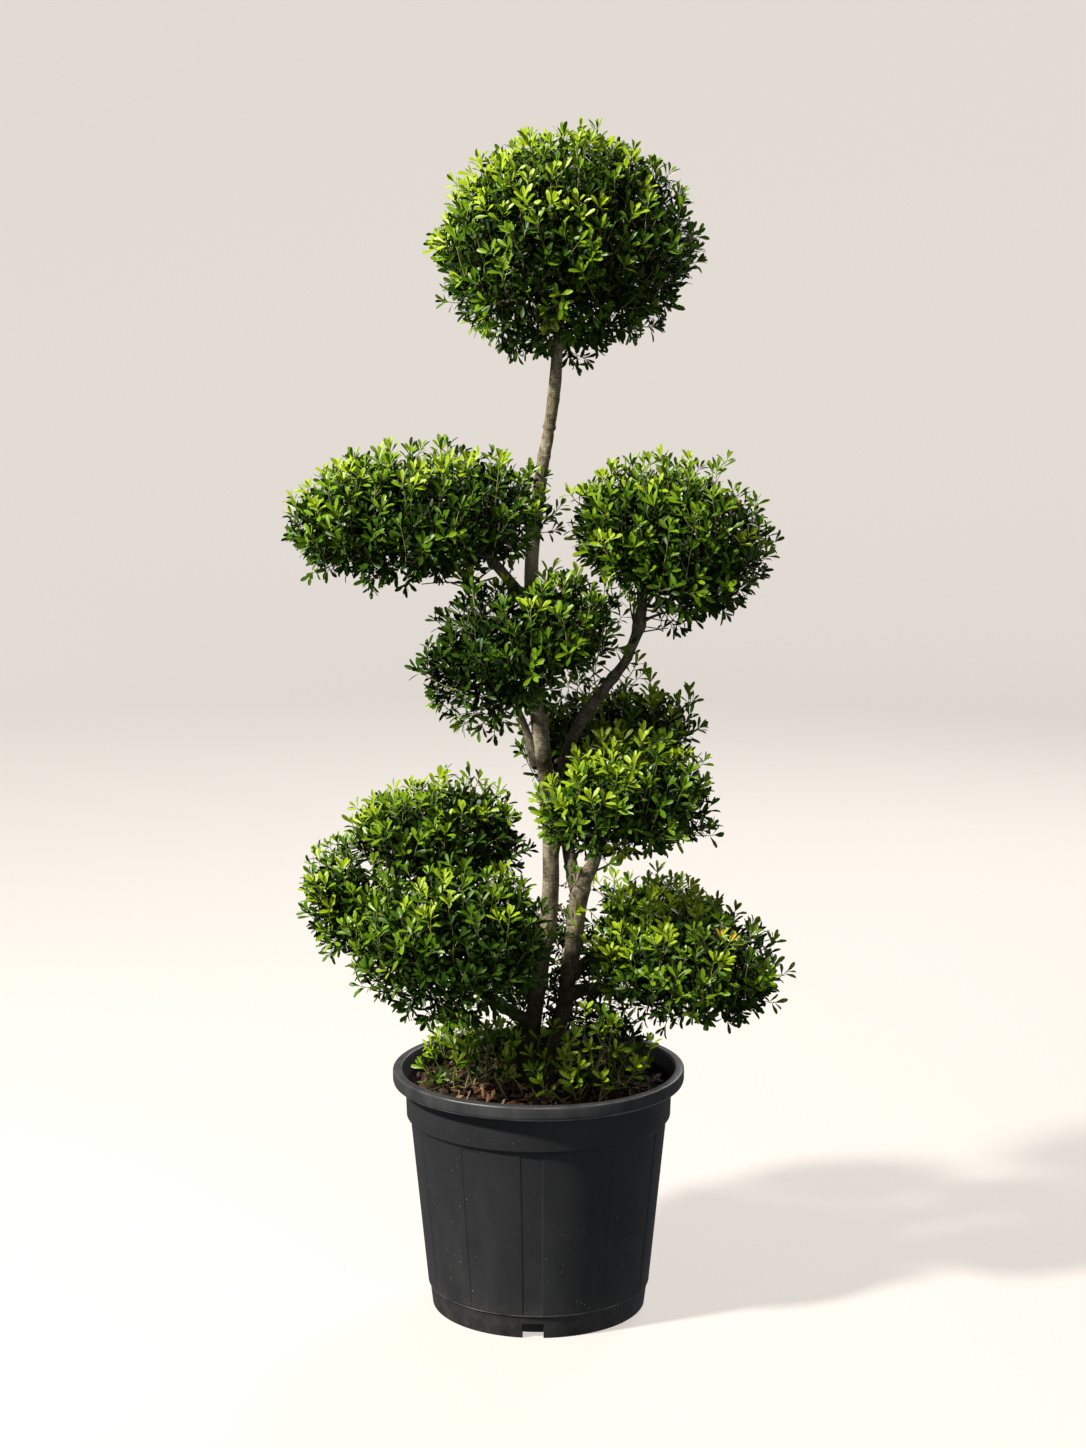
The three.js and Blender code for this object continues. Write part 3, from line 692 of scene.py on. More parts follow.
def rough_material(name, stops, scale, roughness, bump_scale, bump_size):
    m, nt, b = new_material(name)
    L = nt.links.new
    at = node(nt, "ShaderNodeTexCoord").outputs["Object"]
    n = node(nt, "ShaderNodeTexNoise", in_Scale=scale, in_Detail=8.0, in_Roughness=0.68)
    L(at, n.inputs["Vector"])
    c = ramp(nt, n.outputs["Fac"], stops)
    L(c.outputs["Color"], b.inputs["Base Color"])
    b.inputs["Roughness"].default_value = roughness
    b.inputs["Specular IOR Level"].default_value = 0.25
    g = node(nt, "ShaderNodeTexNoise", in_Scale=bump_scale, in_Detail=6.0, in_Roughness=0.7)
    L(at, g.inputs["Vector"])
    bump = node(nt, "ShaderNodeBump", in_Strength=0.8, in_Distance=bump_size)
    L(g.outputs["Fac"], bump.inputs["Height"])
    L(bump.outputs["Normal"], b.inputs["Normal"])
    return m


# ------------------------------------------------------------------ limbs
def smooth_path(points, steps_per=60):
    """A centripetal curve through (x, y, z, radius) points in millimetres, in metres."""
    p = np.array(points, dtype=float) * MM
    xyz = p[:, :3]
    ext = np.concatenate([[2 * xyz[0] - xyz[1]], xyz, [2 * xyz[-1] - xyz[-2]]])
    out, rad = [], []
    for i in range(len(xyz) - 1):
        p0, p1, p2, p3 = ext[i : i + 4]
        d0, d1, d2 = (max(np.linalg.norm(b - a) ** 0.5, 1e-4) for a, b in ((p0, p1), (p1, p2), (p2, p3)))
        t1 = ((p1 - p0) / d0 - (p2 - p0) / (d0 + d1) + (p2 - p1) / d1) * d1
        t2 = ((p2 - p1) / d1 - (p3 - p1) / (d1 + d2) + (p3 - p2) / d2) * d1
        w = np.linspace(0, 1, steps_per, endpoint=(i == len(xyz) - 2))[:, None]
        out.append(p1 + t1 * w + (-3 * p1 + 3 * p2 - 2 * t1 - t2) * w**2 + (2 * p1 - 2 * p2 + t1 + t2) * w**3)
        rad.append(p[i, 3] + (p[i + 1, 3] - p[i, 3]) * w[:, 0])
    return np.concatenate(out), np.concatenate(rad)


def resample(path, radius, step):
    s = np.concatenate([[0], np.cumsum(np.linalg.norm(np.diff(path, axis=0), axis=1))])
    n = max(4, int(round(s[-1] / step)) + 1)
    t = np.linspace(0, s[-1], n)
    return np.stack([np.interp(t, s, path[:, k]) for k in range(3)], -1), np.interp(t, s, radius), t


CURVES = {name: smooth_path(points) for name, points in LIMBS.items()}
# swellings: limb, height in mm, compass turn in degrees from the face, reach and rise in mm
KNOTS = [
    ("trunk", 1205, None, 3.0, 2.0), ("trunk", 1199, None, 2.8, -1.3), ("trunk", 1120, None, 4, 0.9), ("trunk", 1240, None, 4, 0.7),
    ("trunk", 1168, None, 3.5, 0.9), ("trunk", 1090, None, 4, 0.8), ("trunk", 1149, -40, 5, 0.8), ("trunk", 966, None, 16, 1.6),
    ("trunk", 870, 40, 9, 2.2), ("trunk", 758, -20, 8, 2.6), ("trunk", 700, None, 12, 1.2),
    ("trunk", 640, 70, 8, 1.8), ("trunk", 560, -50, 9, 2.0), ("trunk", 500, 20, 8, 1.5),
    ("trunk", 430, -60, 12, 1.2), ("trunk", 1282, 30, 7, 1.3), ("trunk", 1186, 40, 5, 1.2),
    ("trunk", 1060, -60, 7, 1.4), ("trunk", 820, 120, 9, 2.0),
    ("stem_second", 424, 30, 8, 1.4), ("stem_second", 520, -30, 8, 1.6), ("stem_second", 584, None, 12, 2.0),
    ("bough_upper_right", 660, 30, 7, 1.5), ("bough_upper_right", 744, None, 8, 1.2),
    ("bough_upper_right", 806, -20, 8, 2.2), ("bough_upper_right", 866, None, 7, 1.4),
    ("bough_upper_right", 938, None, 9, 2.8), ("bough_left_front", 430, None, 6, 1.0),
    ("bough_lower_right", 446, 0, 7, 1.4), ("bough_left_back", 470, None, 7, 1.0),
]


def bark_limb(name, sides, step, material, seed):
    path, radius, s = resample(*CURVES[name], step)
    lumps = noise(path / 0.045, seed)
    turn = np.arange(sides) * (2 * np.pi / sides)
    _, u, v = (a[0] for a in frames_along(path[None]))
    out = np.cos(turn)[None, :, None] * u[:, None] + np.sin(turn)[None, :, None] * v[:, None]
    at = path[:, None] + out * radius[:, None, None]
    r = np.repeat(radius[:, None], sides, 1)
    # the foot spreads over the soil in low buttresses
    flare = {"trunk": 0.4, "stem_second": 0.28}.get(name, 0)
    if flare:
        rise = np.clip(1 - np.maximum(0, path[:, 2] - SOIL) / 0.07, 0, 1)[:, None]
        compass = np.arctan2(out[..., 1], out[..., 0])
        r = r * (1 + flare * rise**2 * (1 + 0.4 * np.cos(3 * compass + 0.8) + 0.15 * np.cos(7 * compass)))
    else:
        # the collar where a bough leaves its parent
        r = r * (1 + 0.35 * np.exp(-np.maximum(0, s - 0.010) / 0.012))[:, None]
    # slow unevenness round and along it
    r = r * (1 + 0.05 * noise(at / 0.030, seed) + 0.02 * lumps[:, None])
    # bark: long ripples, cross wrinkles and small warts
    along = s[:, None] + 0 * r
    scale = np.clip(radius / 0.012, 0.45, 1.2)[:, None]
    ripple = noise(np.stack([at[..., 0] / 0.0055, at[..., 1] / 0.0055, along / 0.05], -1), seed + 1)
    wrinkle = noise(np.stack([at[..., 0] / 0.011, at[..., 1] / 0.011, along / 0.0034], -1), seed + 2)
    warts = noise(at / 0.0042, seed + 3)
    r = r + scale * MM * (0.50 * ripple + 0.34 * wrinkle * smooth(-0.2, 0.6, noise(at / 0.03, seed + 5)) + 0.26 * np.clip(warts, -0.2, 1))
    for limb_name, z, where, reach, rise in KNOTS:
        if limb_name != name:
            continue
        i = int(np.argmin(np.abs(path[:, 2] - z * MM)))
        near = np.exp(-(((s - s[i]) / (reach * MM)) ** 2))[:, None]
        if where is None:
            ring = 0.75 + 0.45 * noise(out * 1.6 + i, seed + 7)
        else:
            a = math.radians(where)
            d = np.array([math.sin(a), -math.cos(a), 0.25])
            ring = np.clip(np.sum(out * d, axis=-1), 0, 1) ** 5 * 1.2
        r = r + near * ring * rise * MM
    verts = path[:, None] + out * r[..., None]
    k = len(path)
    flat = verts.reshape(-1, 3)
    a = np.arange(sides)[None]
    row = (np.arange(k - 1) * sides)[:, None]
    quads = np.stack([row + a, row + (a + 1) % sides, row + sides + (a + 1) % sides, row + sides + a], -1).reshape(-1, 4)
    # nothing shows under the soil
    keep = (flat[quads][..., 2].max(axis=1) > SOIL - 0.004)
    quads = quads[keep]
    flat = flat.copy()
    flat[:, 2] = np.maximum(flat[:, 2], SOIL - 0.004) if name in ("trunk", "stem_second") else flat[:, 2]
    end = np.array([[*range((k - 1) * sides, k * sides)]])
    return piece("bark_" + name, flat, [quads, end], material, [name])


for n_limb, name in enumerate(LIMBS):
    main = name in ("trunk", "stem_second", "bough_upper_right")
    bark_limb(
        name,
        sides=44 if main else 30,
        step=0.0026 if main else 0.003,
        # boughs in the clouds' shadow get the darker copy of the bark, as painted shade
        material=BARK_SHADED if name in ("bough_upper_right", "bough_back_right", "bough_center", "bough_upper_left") else BARK,
        seed=400 + 17 * n_limb,
    )


# ------------------------------------------------------------------ clouds of leaves
def lobe_frame(lobe):
    (cx, cy, cz), reach, lean = lobe
    a = math.radians(lean)
    turn = np.array([[math.cos(a), 0, math.sin(a)], [0, 1, 0], [-math.sin(a), 0, math.cos(a)]])
    return np.array([cx, cy, cz]) * MM, np.array(reach, dtype=float) * MM, turn


def lobe_level(lobe, p):
    """How far out in the lobe points are (1 is its skin), and the way out there."""
    centre, reach, turn = lobe_frame(lobe)
    q = (p - centre) @ turn
    side = np.where(q < 0, reach[[0, 2, 5]], reach[[1, 3, 4]])
    level = np.sqrt(np.sum((q / side) ** 2, axis=-1))
    return level, unit(q / side**2) @ turn.T


def outward(cloud, p):
    best, way = None, None
    for lobe in cloud["lobes"]:
        level, n = lobe_level(lobe, p)
        if best is None:
            best, way = level, n
        else:
            pick = np.abs(level - 1) < np.abs(best - 1)
            best = np.where(pick, level, best)
            way = np.where(pick[:, None], n, way)
    return way


def skin_points(node_name, count, rng):
    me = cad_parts[node_name].data
    me.calc_loop_triangles()
    tri = np.empty(len(me.loop_triangles) * 3, dtype=np.int32)
    me.loop_triangles.foreach_get("vertices", tri)
    tri = tri.reshape(-1, 3)
    co = np.empty(len(me.vertices) * 3, dtype=np.float32)
    me.vertices.foreach_get("co", co)
    co = co.reshape(-1, 3).astype(float)
    a, b, c = (co[tri[:, k]] for k in range(3))
    area = np.linalg.norm(np.cross(b - a, c - a), axis=1) / 2
    pick = rng.choice(len(area), size=count, p=area / area.sum())
    u, v = rng.random(count), rng.random(count)
    flip = u + v > 1
    u[flip], v[flip] = 1 - u[flip], 1 - v[flip]
    return a[pick] + (b - a)[pick] * u[:, None] + (c - a)[pick] * v[:, None], area.sum()


LIMB_TREE_POINTS = np.concatenate([c[0][::6] for c in CURVES.values()])
LIMB_TREE_RADII = np.concatenate([c[1][::6] for c in CURVES.values()])
limb_tree = KDTree(len(LIMB_TREE_POINTS))
for i_point, point in enumerate(LIMB_TREE_POINTS):
    limb_tree.insert(point, i_point)
limb_tree.balance()


def off_limbs(p, clear):
    keep = np.ones(len(p), dtype=bool)
    for i, q in enumerate(p):
        _, j, d = limb_tree.find(q)
        if d < LIMB_TREE_RADII[j] + clear:
            keep[i] = False
    return keep


ALL_CLOUDS = {**CLOUDS, **FEET}
SUN = unit(np.array([-3.75, -2.2, 3.45]))


def clipped(cloud, p, n):
    """How much deeper than the solid's skin shoots end, which differs from side to side."""
    if "clip" not in cloud:
        return np.zeros(len(p))
    middle = np.mean([lobe[0] for lobe in cloud["lobes"]], axis=0) * MM
    a = np.degrees(np.arctan2(p[:, 2] - middle[2], p[:, 0] - middle[0])) % 360
    turns = np.array([c[0] for c in cloud["clip"]]) % 360
    order = np.argsort(turns)
    depths = np.array([c[1] for c in cloud["clip"]])[order]
    return np.interp(a, turns[order], depths, period=360) * MM * (1 - n[:, 1] ** 2)


# painted shade: leaves near each dim middle are dealt darker colours, and lighter ones as painted light where the
# amount is negative
def dimmed(cloud, p):
    shift = np.zeros(len(p))
    for middle, reach, much in cloud.get("dim", ()):
        d = np.linalg.norm(p - np.array(middle) * MM, axis=1) / (reach * MM)
        shift = shift + much * (1 - smooth(0.72, 1.12, d))
    return shift


def in_the_light(cloud, tip, way, length):
    """False for shoots that stand between the sun and the stretch that the cloud leaves open."""
    keep = np.ones(len(tip), dtype=bool)
    line = np.array(cloud["open_to"]) * MM
    k = np.linspace(0, len(line) - 1, 9)
    marks = np.stack([np.interp(k, np.arange(len(line)), line[:, c]) for c in range(3)], -1)
    for f in (-0.15, 0.25, 0.6, 1.0):
        q = tip - way * (length * f)[:, None]
        for mark in marks:
            r = q - mark
            off = r - np.outer(r @ SUN, SUN)
            keep &= np.linalg.norm(off, axis=1) > 0.019
    return keep


def off_other_clouds(name, p):
    """Where another cloud presses on this one, no shoots stand on the face between them."""
    keep = np.ones(len(p), dtype=bool)
    for other, cloud in ALL_CLOUDS.items():
        if other == name:
            continue
        for lobe in cloud["lobes"]:
            level, _ = lobe_level(lobe, p)
            keep &= level > 1.03
    return keep


def spread(p, gap, rng, taken=None):
    """Dart throwing: keeps points at least gap apart. gap is one value for each point."""
    cell = float(np.max(gap))
    grid = {}
    kept = []
    keys = np.floor(p / cell).astype(int)
    for i in range(len(p)):
        kx, ky, kz = keys[i]
        q, g2 = p[i], gap[i] ** 2
        clear = True
        for dx in (-1, 0, 1):
            for dy in (-1, 0, 1):
                for dz in (-1, 0, 1):
                    for j in grid.get((kx + dx, ky + dy, kz + dz), ()):
                        d = p[j] - q
                        if d[0] * d[0] + d[1] * d[1] + d[2] * d[2] < g2:
                            clear = False
                            break
                    if not clear:
                        break
                if not clear:
                    break
            if not clear:
                break
        if clear:
            grid.setdefault((kx, ky, kz), []).append(i)
            kept.append(i)
    return np.array(kept, dtype=int)


def shoot_way(n, rng, lift=1.0):
    """Shoots stand up and a little out, and on an underside they lie sideways."""
    count = len(n)
    jitter = rng.normal(0, 0.17, (count, 3))
    flat = unit(n * [1, 1, 0.0] + 1e-6)
    high = unit(n * 0.45 + UP * lift + jitter)
    side = unit(n * 0.66 + UP * lift * 0.72 + jitter)
    low = unit(flat * 0.66 + n * 0.66 + jitter)
    w = smooth(-0.10, 0.45, n[:, 2])[:, None]
    v = smooth(-0.75, -0.22, n[:, 2])[:, None]
    return unit((high * w + side * (1 - w)) * v + low * (1 - v))


def cluster(p, k, rng):
    centre = p[rng.choice(len(p), size=k, replace=False)]
    for _ in range(5):
        d = ((p[:, None] - centre[None]) ** 2).sum(-1)
        who = d.argmin(1)
        for c in range(k):
            if (who == c).any():
                centre[c] = p[who == c].mean(0)
    return who


def branch(roots, targets, seed, tip_radius=0.00075):
    """The branching rule. From each root the targets are parted into two to four groups by
    place, a branch grows part of the way to the middle of each group, and the same is done
    again from its end, until one target is left. Radii follow how many tips a branch bears.
    Returns paths by thickness, each a list of (points, radii)."""
    rng = np.random.default_rng(seed)
    owner = np.argmin(
        [np.linalg.norm(targets - r["at"], axis=1) + r.get("cost", 0) for r in roots], axis=0
    )
    made = {"thick": [], "mid": [], "thin": []}
    ends = {}
    for i_root, root in enumerate(roots):
        mine = np.where(owner == i_root)[0]
        if len(mine) == 0:
            continue
        most = root["radius"]
        stack = [(root["at"], root["way"], mine, min(most, tip_radius * len(mine) ** 0.46), 0)]
        while stack:
            at, way, group, thick, depth = stack.pop()
            n = len(group)
            if n == 1:
                end = targets[group[0]]
                ends[group[0]] = at
                r1 = tip_radius
                made_path(made, at, way, end, thick, r1, rng)
                continue
            pts = targets[group]
            k = 2 if n < 7 else (3 if n < 60 else 4)
            if n == 2:
                who = np.array([0, 1])
            else:
                who = cluster(pts, min(k, n), rng)
            for c in range(who.max() + 1):
                sub = group[who == c]
                if len(sub) == 0:
                    continue
                if len(sub) == 1:
                    end = targets[sub[0]]
                    made_path(made, at, way, end, min(thick, tip_radius * 1.15), tip_radius, rng)
                    continue
                mid = targets[sub].mean(0)
                gap = np.linalg.norm(mid - at)
                f = 0.46 if n > 30 else 0.55
                end = at + (mid - at) * f + rng.normal(0, 0.07, 3) * gap
                r1 = min(thick, tip_radius * len(sub) ** 0.46)
                new_way = made_path(made, at, way, end, min(thick, r1 * 1.15), r1, rng)
                stack.append((end, new_way, sub, r1, depth + 1))
    return made


def made_path(made, a, way, b, r0, r1, rng):
    gap = np.linalg.norm(b - a)
    if gap < 1e-5:
        return way
    straight = (b - a) / gap
    c = a + way * gap * 0.28 + straight * gap * 0.14
    d = b - straight * gap * 0.22 + rng.normal(0, 0.06, 3) * gap
    kind = "thick" if r0 > 0.0021 else ("mid" if r0 > 0.00125 else "thin")
    k = {"thick": 7, "mid": 5, "thin": 4}[kind]
    t = np.linspace(0, 1, k)[:, None]
    path = a * (1 - t) ** 3 + 3 * c * t * (1 - t) ** 2 + 3 * d * t * t * (1 - t) + b * t**3
    made[kind].append((path, np.linspace(r0, r1, k)))
    end = b - d
    return end / max(np.linalg.norm(end), 1e-9)


GOLDEN = math.radians(137.5)


# leaves down a shoot from its tip: distance in mm, angle from the twig in degrees, size
FULL = [
    (0.0, 6, 0.70), (0.5, 19, 0.90), (1.2, 30, 1.0), (2.2, 40, 1.05), (3.6, 48, 1.06),
    (5.6, 54, 1.05), (9.0, 58, 1.03), (13.5, 61, 1.0), (19.0, 64, 0.98), (26.0, 66, 0.95),
    (34.0, 68, 0.92), (43.0, 70, 0.90),
]
MIDDLE = [
    (0.0, 10, 0.76), (0.7, 26, 0.94), (1.7, 39, 1.03), (3.2, 49, 1.05), (6.0, 56, 1.03),
    (11.0, 60, 1.0), (18.0, 63, 0.97), (27.0, 66, 0.94),
]
SHORT = [
    (0.5, 26, 0.90), (1.6, 38, 1.0), (4.0, 48, 1.05), (8.0, 56, 1.05), (13.0, 61, 1.0),
    (19.0, 65, 0.97), (26.0, 68, 0.92),
]
TALL = [
    (0.0, 6, 0.72), (0.8, 15, 0.92), (2.2, 24, 1.02), (4.4, 31, 1.06), (7.2, 36, 1.06), (10.6, 40, 1.04),
    (14.6, 43, 1.0), (19.2, 46, 0.98), (24.5, 49, 0.96), (30.5, 52, 0.94), (37.0, 55, 0.92), (44.0, 58, 0.90),
]
ORDER = ["lime", "fresh", "green", "deep", "shade"]


def dress(tip, way, n, length, rng, rows, shape, hue, heaps, twigs, size=1.0, stout=0.00085, darken_rows=(6, 8, 10)):
    """Shoots that end at tip: a thin twig with leaves in a spiral and a rosette at its end.
    hue is the colour number of each shoot's top leaves. Lower leaves are dealt darker colours step by step down the
    shoot: partly as older leaves, and partly as painted shade."""
    count = len(tip)
    if count == 0:
        return np.zeros((0, 3)), np.zeros((0, 4, 3))
    base = tip - way * length[:, None]
    side = unit(np.cross(way, UP + rng.normal(0, 0.2, (count, 3))))
    bow = (rng.normal(0, 0.08, count) * length)[:, None] * side - UP * (0.07 * length)[:, None] * (1 - way[:, 2:3] ** 2)
    t = np.array([0, 0.38, 0.72, 1.0])
    path = base[:, None] + way[:, None] * (length[:, None] * t[None])[..., None] + bow[:, None] * (4 * t * (1 - t))[None, :, None]
    radius = np.interp(t, [0, 1], [stout, 0.00048])[None] * (0.9 + 0.25 * rng.random((count, 1)))
    twigs.add(*tubes(path, radius, 3))
    tang, u, v = frames_along(path)
    start_turn = rng.random(count) * 2 * np.pi
    nv = len(shape[0])
    # blades turn their upper side up the twig, and more of them to the light than away
    light = unit(np.stack([
        np.full(count, -0.35) + 0.5 * n[:, 0], -0.8 + 1.7 * smooth(0.10, 0.55, n[:, 1]), np.full(count, 0.45)
    ], -1))
    for i, (down, angle, part) in enumerate(rows):
        s = 1 - down * MM / length
        # a few leaves are missing
        there = (s > 0.12) & (rng.random(count) > (0.03 if i < 6 else 0.10))
        if not there.any():
            continue
        m = np.where(there)[0]
        s = s[m]
        seg = np.clip(np.searchsorted(t, s, side="right") - 1, 0, 2)
        f = ((s - t[seg]) / (t[seg + 1] - t[seg]))[:, None]
        at = path[m, seg] * (1 - f) + path[m, seg + 1] * f
        ax = unit(tang[m, seg] * (1 - f) + tang[m, seg + 1] * f)
        uu, vv = u[m, seg], v[m, seg]
        turn = start_turn[m] + i * GOLDEN + rng.normal(0, 0.20, len(m))
        out = np.cos(turn)[:, None] * uu + np.sin(turn)[:, None] * vv
        a = np.radians(angle + rng.normal(0, 5.5, len(m)))[:, None]
        along = np.cos(a) * ax + np.sin(a) * out
        face = ax * 0.50 + light[m] * 0.62 + n[m] * 0.30 - out * 0.20 + rng.normal(0, 0.20, (len(m), 3))
        big = size * part * (0.0184 + rng.normal(0, 0.0015, len(m)))
        wide = big * (0.150 + rng.normal(0, 0.014, len(m)))
        verts_all, _ = leaves(
            shape, at, along, face, big, wide, 0.34 + rng.normal(0, 0.10, len(m)), 0.12 + rng.normal(0, 0.07, len(m))
        )
        # each shoot's leaves go to the colour that was dealt to it
        # painted shade, and partly older leaves: a step darker for each of the given rows that a leaf is past
        darker_steps = sum(i >= a for a in darken_rows)
        young = (hue[m] >= 5) & (i < np.where(hue[m] == 6, 2, 3))
        shade = np.where(young, hue[m], np.minimum(np.where(hue[m] >= 5, 0, hue[m]) + darker_steps, 4))
        for tone in np.unique(shade):
            sel = np.where(shade == tone)[0]
            key = {5: "gold", 6: "amber"}.get(int(tone)) or ORDER[int(tone)]
            base_i = (np.arange(len(sel)) * nv)[:, None, None]
            heaps.setdefault(key, Heap()).add(
                verts_all.reshape(len(m), nv, 3)[sel].reshape(-1, 3),
                [(base_i + tf[None]).reshape(-1, tf.shape[1]) for tf in shape[1]],
            )
    return base, path


def side_shoots(path, way, n, length, hue, rng, chance, heaps, twigs, size=1.0):
    """Side shoots that spring from leading shoots and make a fan with them."""
    for k, share in enumerate(chance):
        m = np.where(rng.random(len(way)) < share)[0]
        if len(m) == 0:
            continue
        across = unit(np.cross(way[m], rng.normal(0, 1, (len(m), 3))))
        across = unit(across + n[m] * 0.35 + UP * 0.25)
        across = unit(across - way[m] * np.sum(across * way[m], axis=1, keepdims=True))
        a = np.radians(rng.uniform(26, 44, len(m)))[:, None]
        w = unit(way[m] * np.cos(a) + across * np.sin(a))
        f = rng.uniform(0.0, 0.9, len(m))[:, None]
        base = path[m, 1] * (1 - f) + path[m, 2] * f
        ln = length[m] * rng.uniform(0.46, 0.62, len(m))
        dress(base + w * ln[:, None], w, n[m], ln, rng, MIDDLE, LEAF_FINE, hue[m], heaps, twigs, size * 0.96, 0.0007, (5, 6, 7))


def deal(n, p, rng, layer, seed, gold=0.0, lift=0.0):
    """A colour number for each shoot: brighter on tops and to the sun, as painted light, in drifts.
    The inner layers get darker colours, the deepest the darkest, as painted shade. A negative lift
    moves the colours darker as painted shade, a positive one lighter as painted light.
    """
    sun = np.array([-0.44, -0.34, 0.76])
    lit = n @ sun
    drift = noise(p / 0.05, seed) * 0.16 + rng.normal(0, 0.27, len(p)) + lift + 0.03
    score = lit * 0.75 + drift
    if layer == 1:
        return np.select([score > 1.05, score > 0.52], [1, 2], 3)
    if layer == 2:
        return np.where(score > 0.62, 3, 4)
    if layer == 3:
        return np.full(len(p), 4)
    hue = np.select([score > 0.46, score > 0.02, score > -0.45], [0, 1, 2], 3)
    if gold:
        right = (p[:, 0] > np.median(p[:, 0])) & (n[:, 2] > -0.3)
        lucky = rng.random(len(p)) < gold * 2
        hue = np.where(right & lucky, np.where(rng.random(len(p)) < 0.65, 5, 6), hue)
    return hue


def limb_root(name, part):
    path, radius = CURVES[name]
    i = int(round(part * (len(path) - 1)))
    way = path[i] - path[max(0, i - 8)]
    return dict(at=path[i], way=way / np.linalg.norm(way), radius=float(radius[i]) * 0.92)


def finish_cloud(name, heaps, wood, green):
    short = name.replace("foliage_", "")
    for key, heap in sorted(heaps.items()):
        if heap.empty():
            continue
        heap.make(f"leaves_{short}_{key}", LEAF_COLOURS[key], "leaves", [name])
        totals["leaves"] += heap.triangles()
        totals["most"] = max(totals["most"], heap.triangles())
    if not wood.empty():
        wood.make(f"branches_{short}", TWIG_COLOURS["wood"], "bark", [name])
        totals["twigs"] += wood.triangles()
    if not green.empty():
        green.make(f"shoots_{short}", TWIG_COLOURS["green"], "bark", [name])
        totals["twigs"] += green.triangles()


totals = dict(leaves=0, twigs=0, most=0, tips=0)


def add_branches(made, wood):
    for kind, sides in (("thick", 7), ("mid", 5), ("thin", 3)):
        if made[kind]:
            path = np.stack([p for p, _ in made[kind]])
            rad = np.stack([r for _, r in made[kind]])
            wood.add(*tubes(path, rad, sides))


# layers of shoots from the skin inwards: gap between shoots as a part of the cloud's
# spacing, depth under the skin in mm, length in mm, leaves down the shoot, leaf shape
LAYERS = [
    dict(gap=1.58, deep=(0, 18), long=(50, 62), rows=FULL, shape=LEAF_FINE, size=1.03, lift=1.0),
    dict(gap=1.12, deep=(17, 30), long=(38, 50), rows=MIDDLE, shape=LEAF_FINE, size=1.02, lift=0.9),
    dict(gap=1.00, deep=(32, 46), long=(30, 40), rows=SHORT, shape=LEAF_PLAIN, size=1.24, lift=0.6),
    dict(gap=1.16, deep=(52, 68), long=(26, 34), rows=SHORT, shape=LEAF_PLAIN, size=1.40, lift=0.4),
]

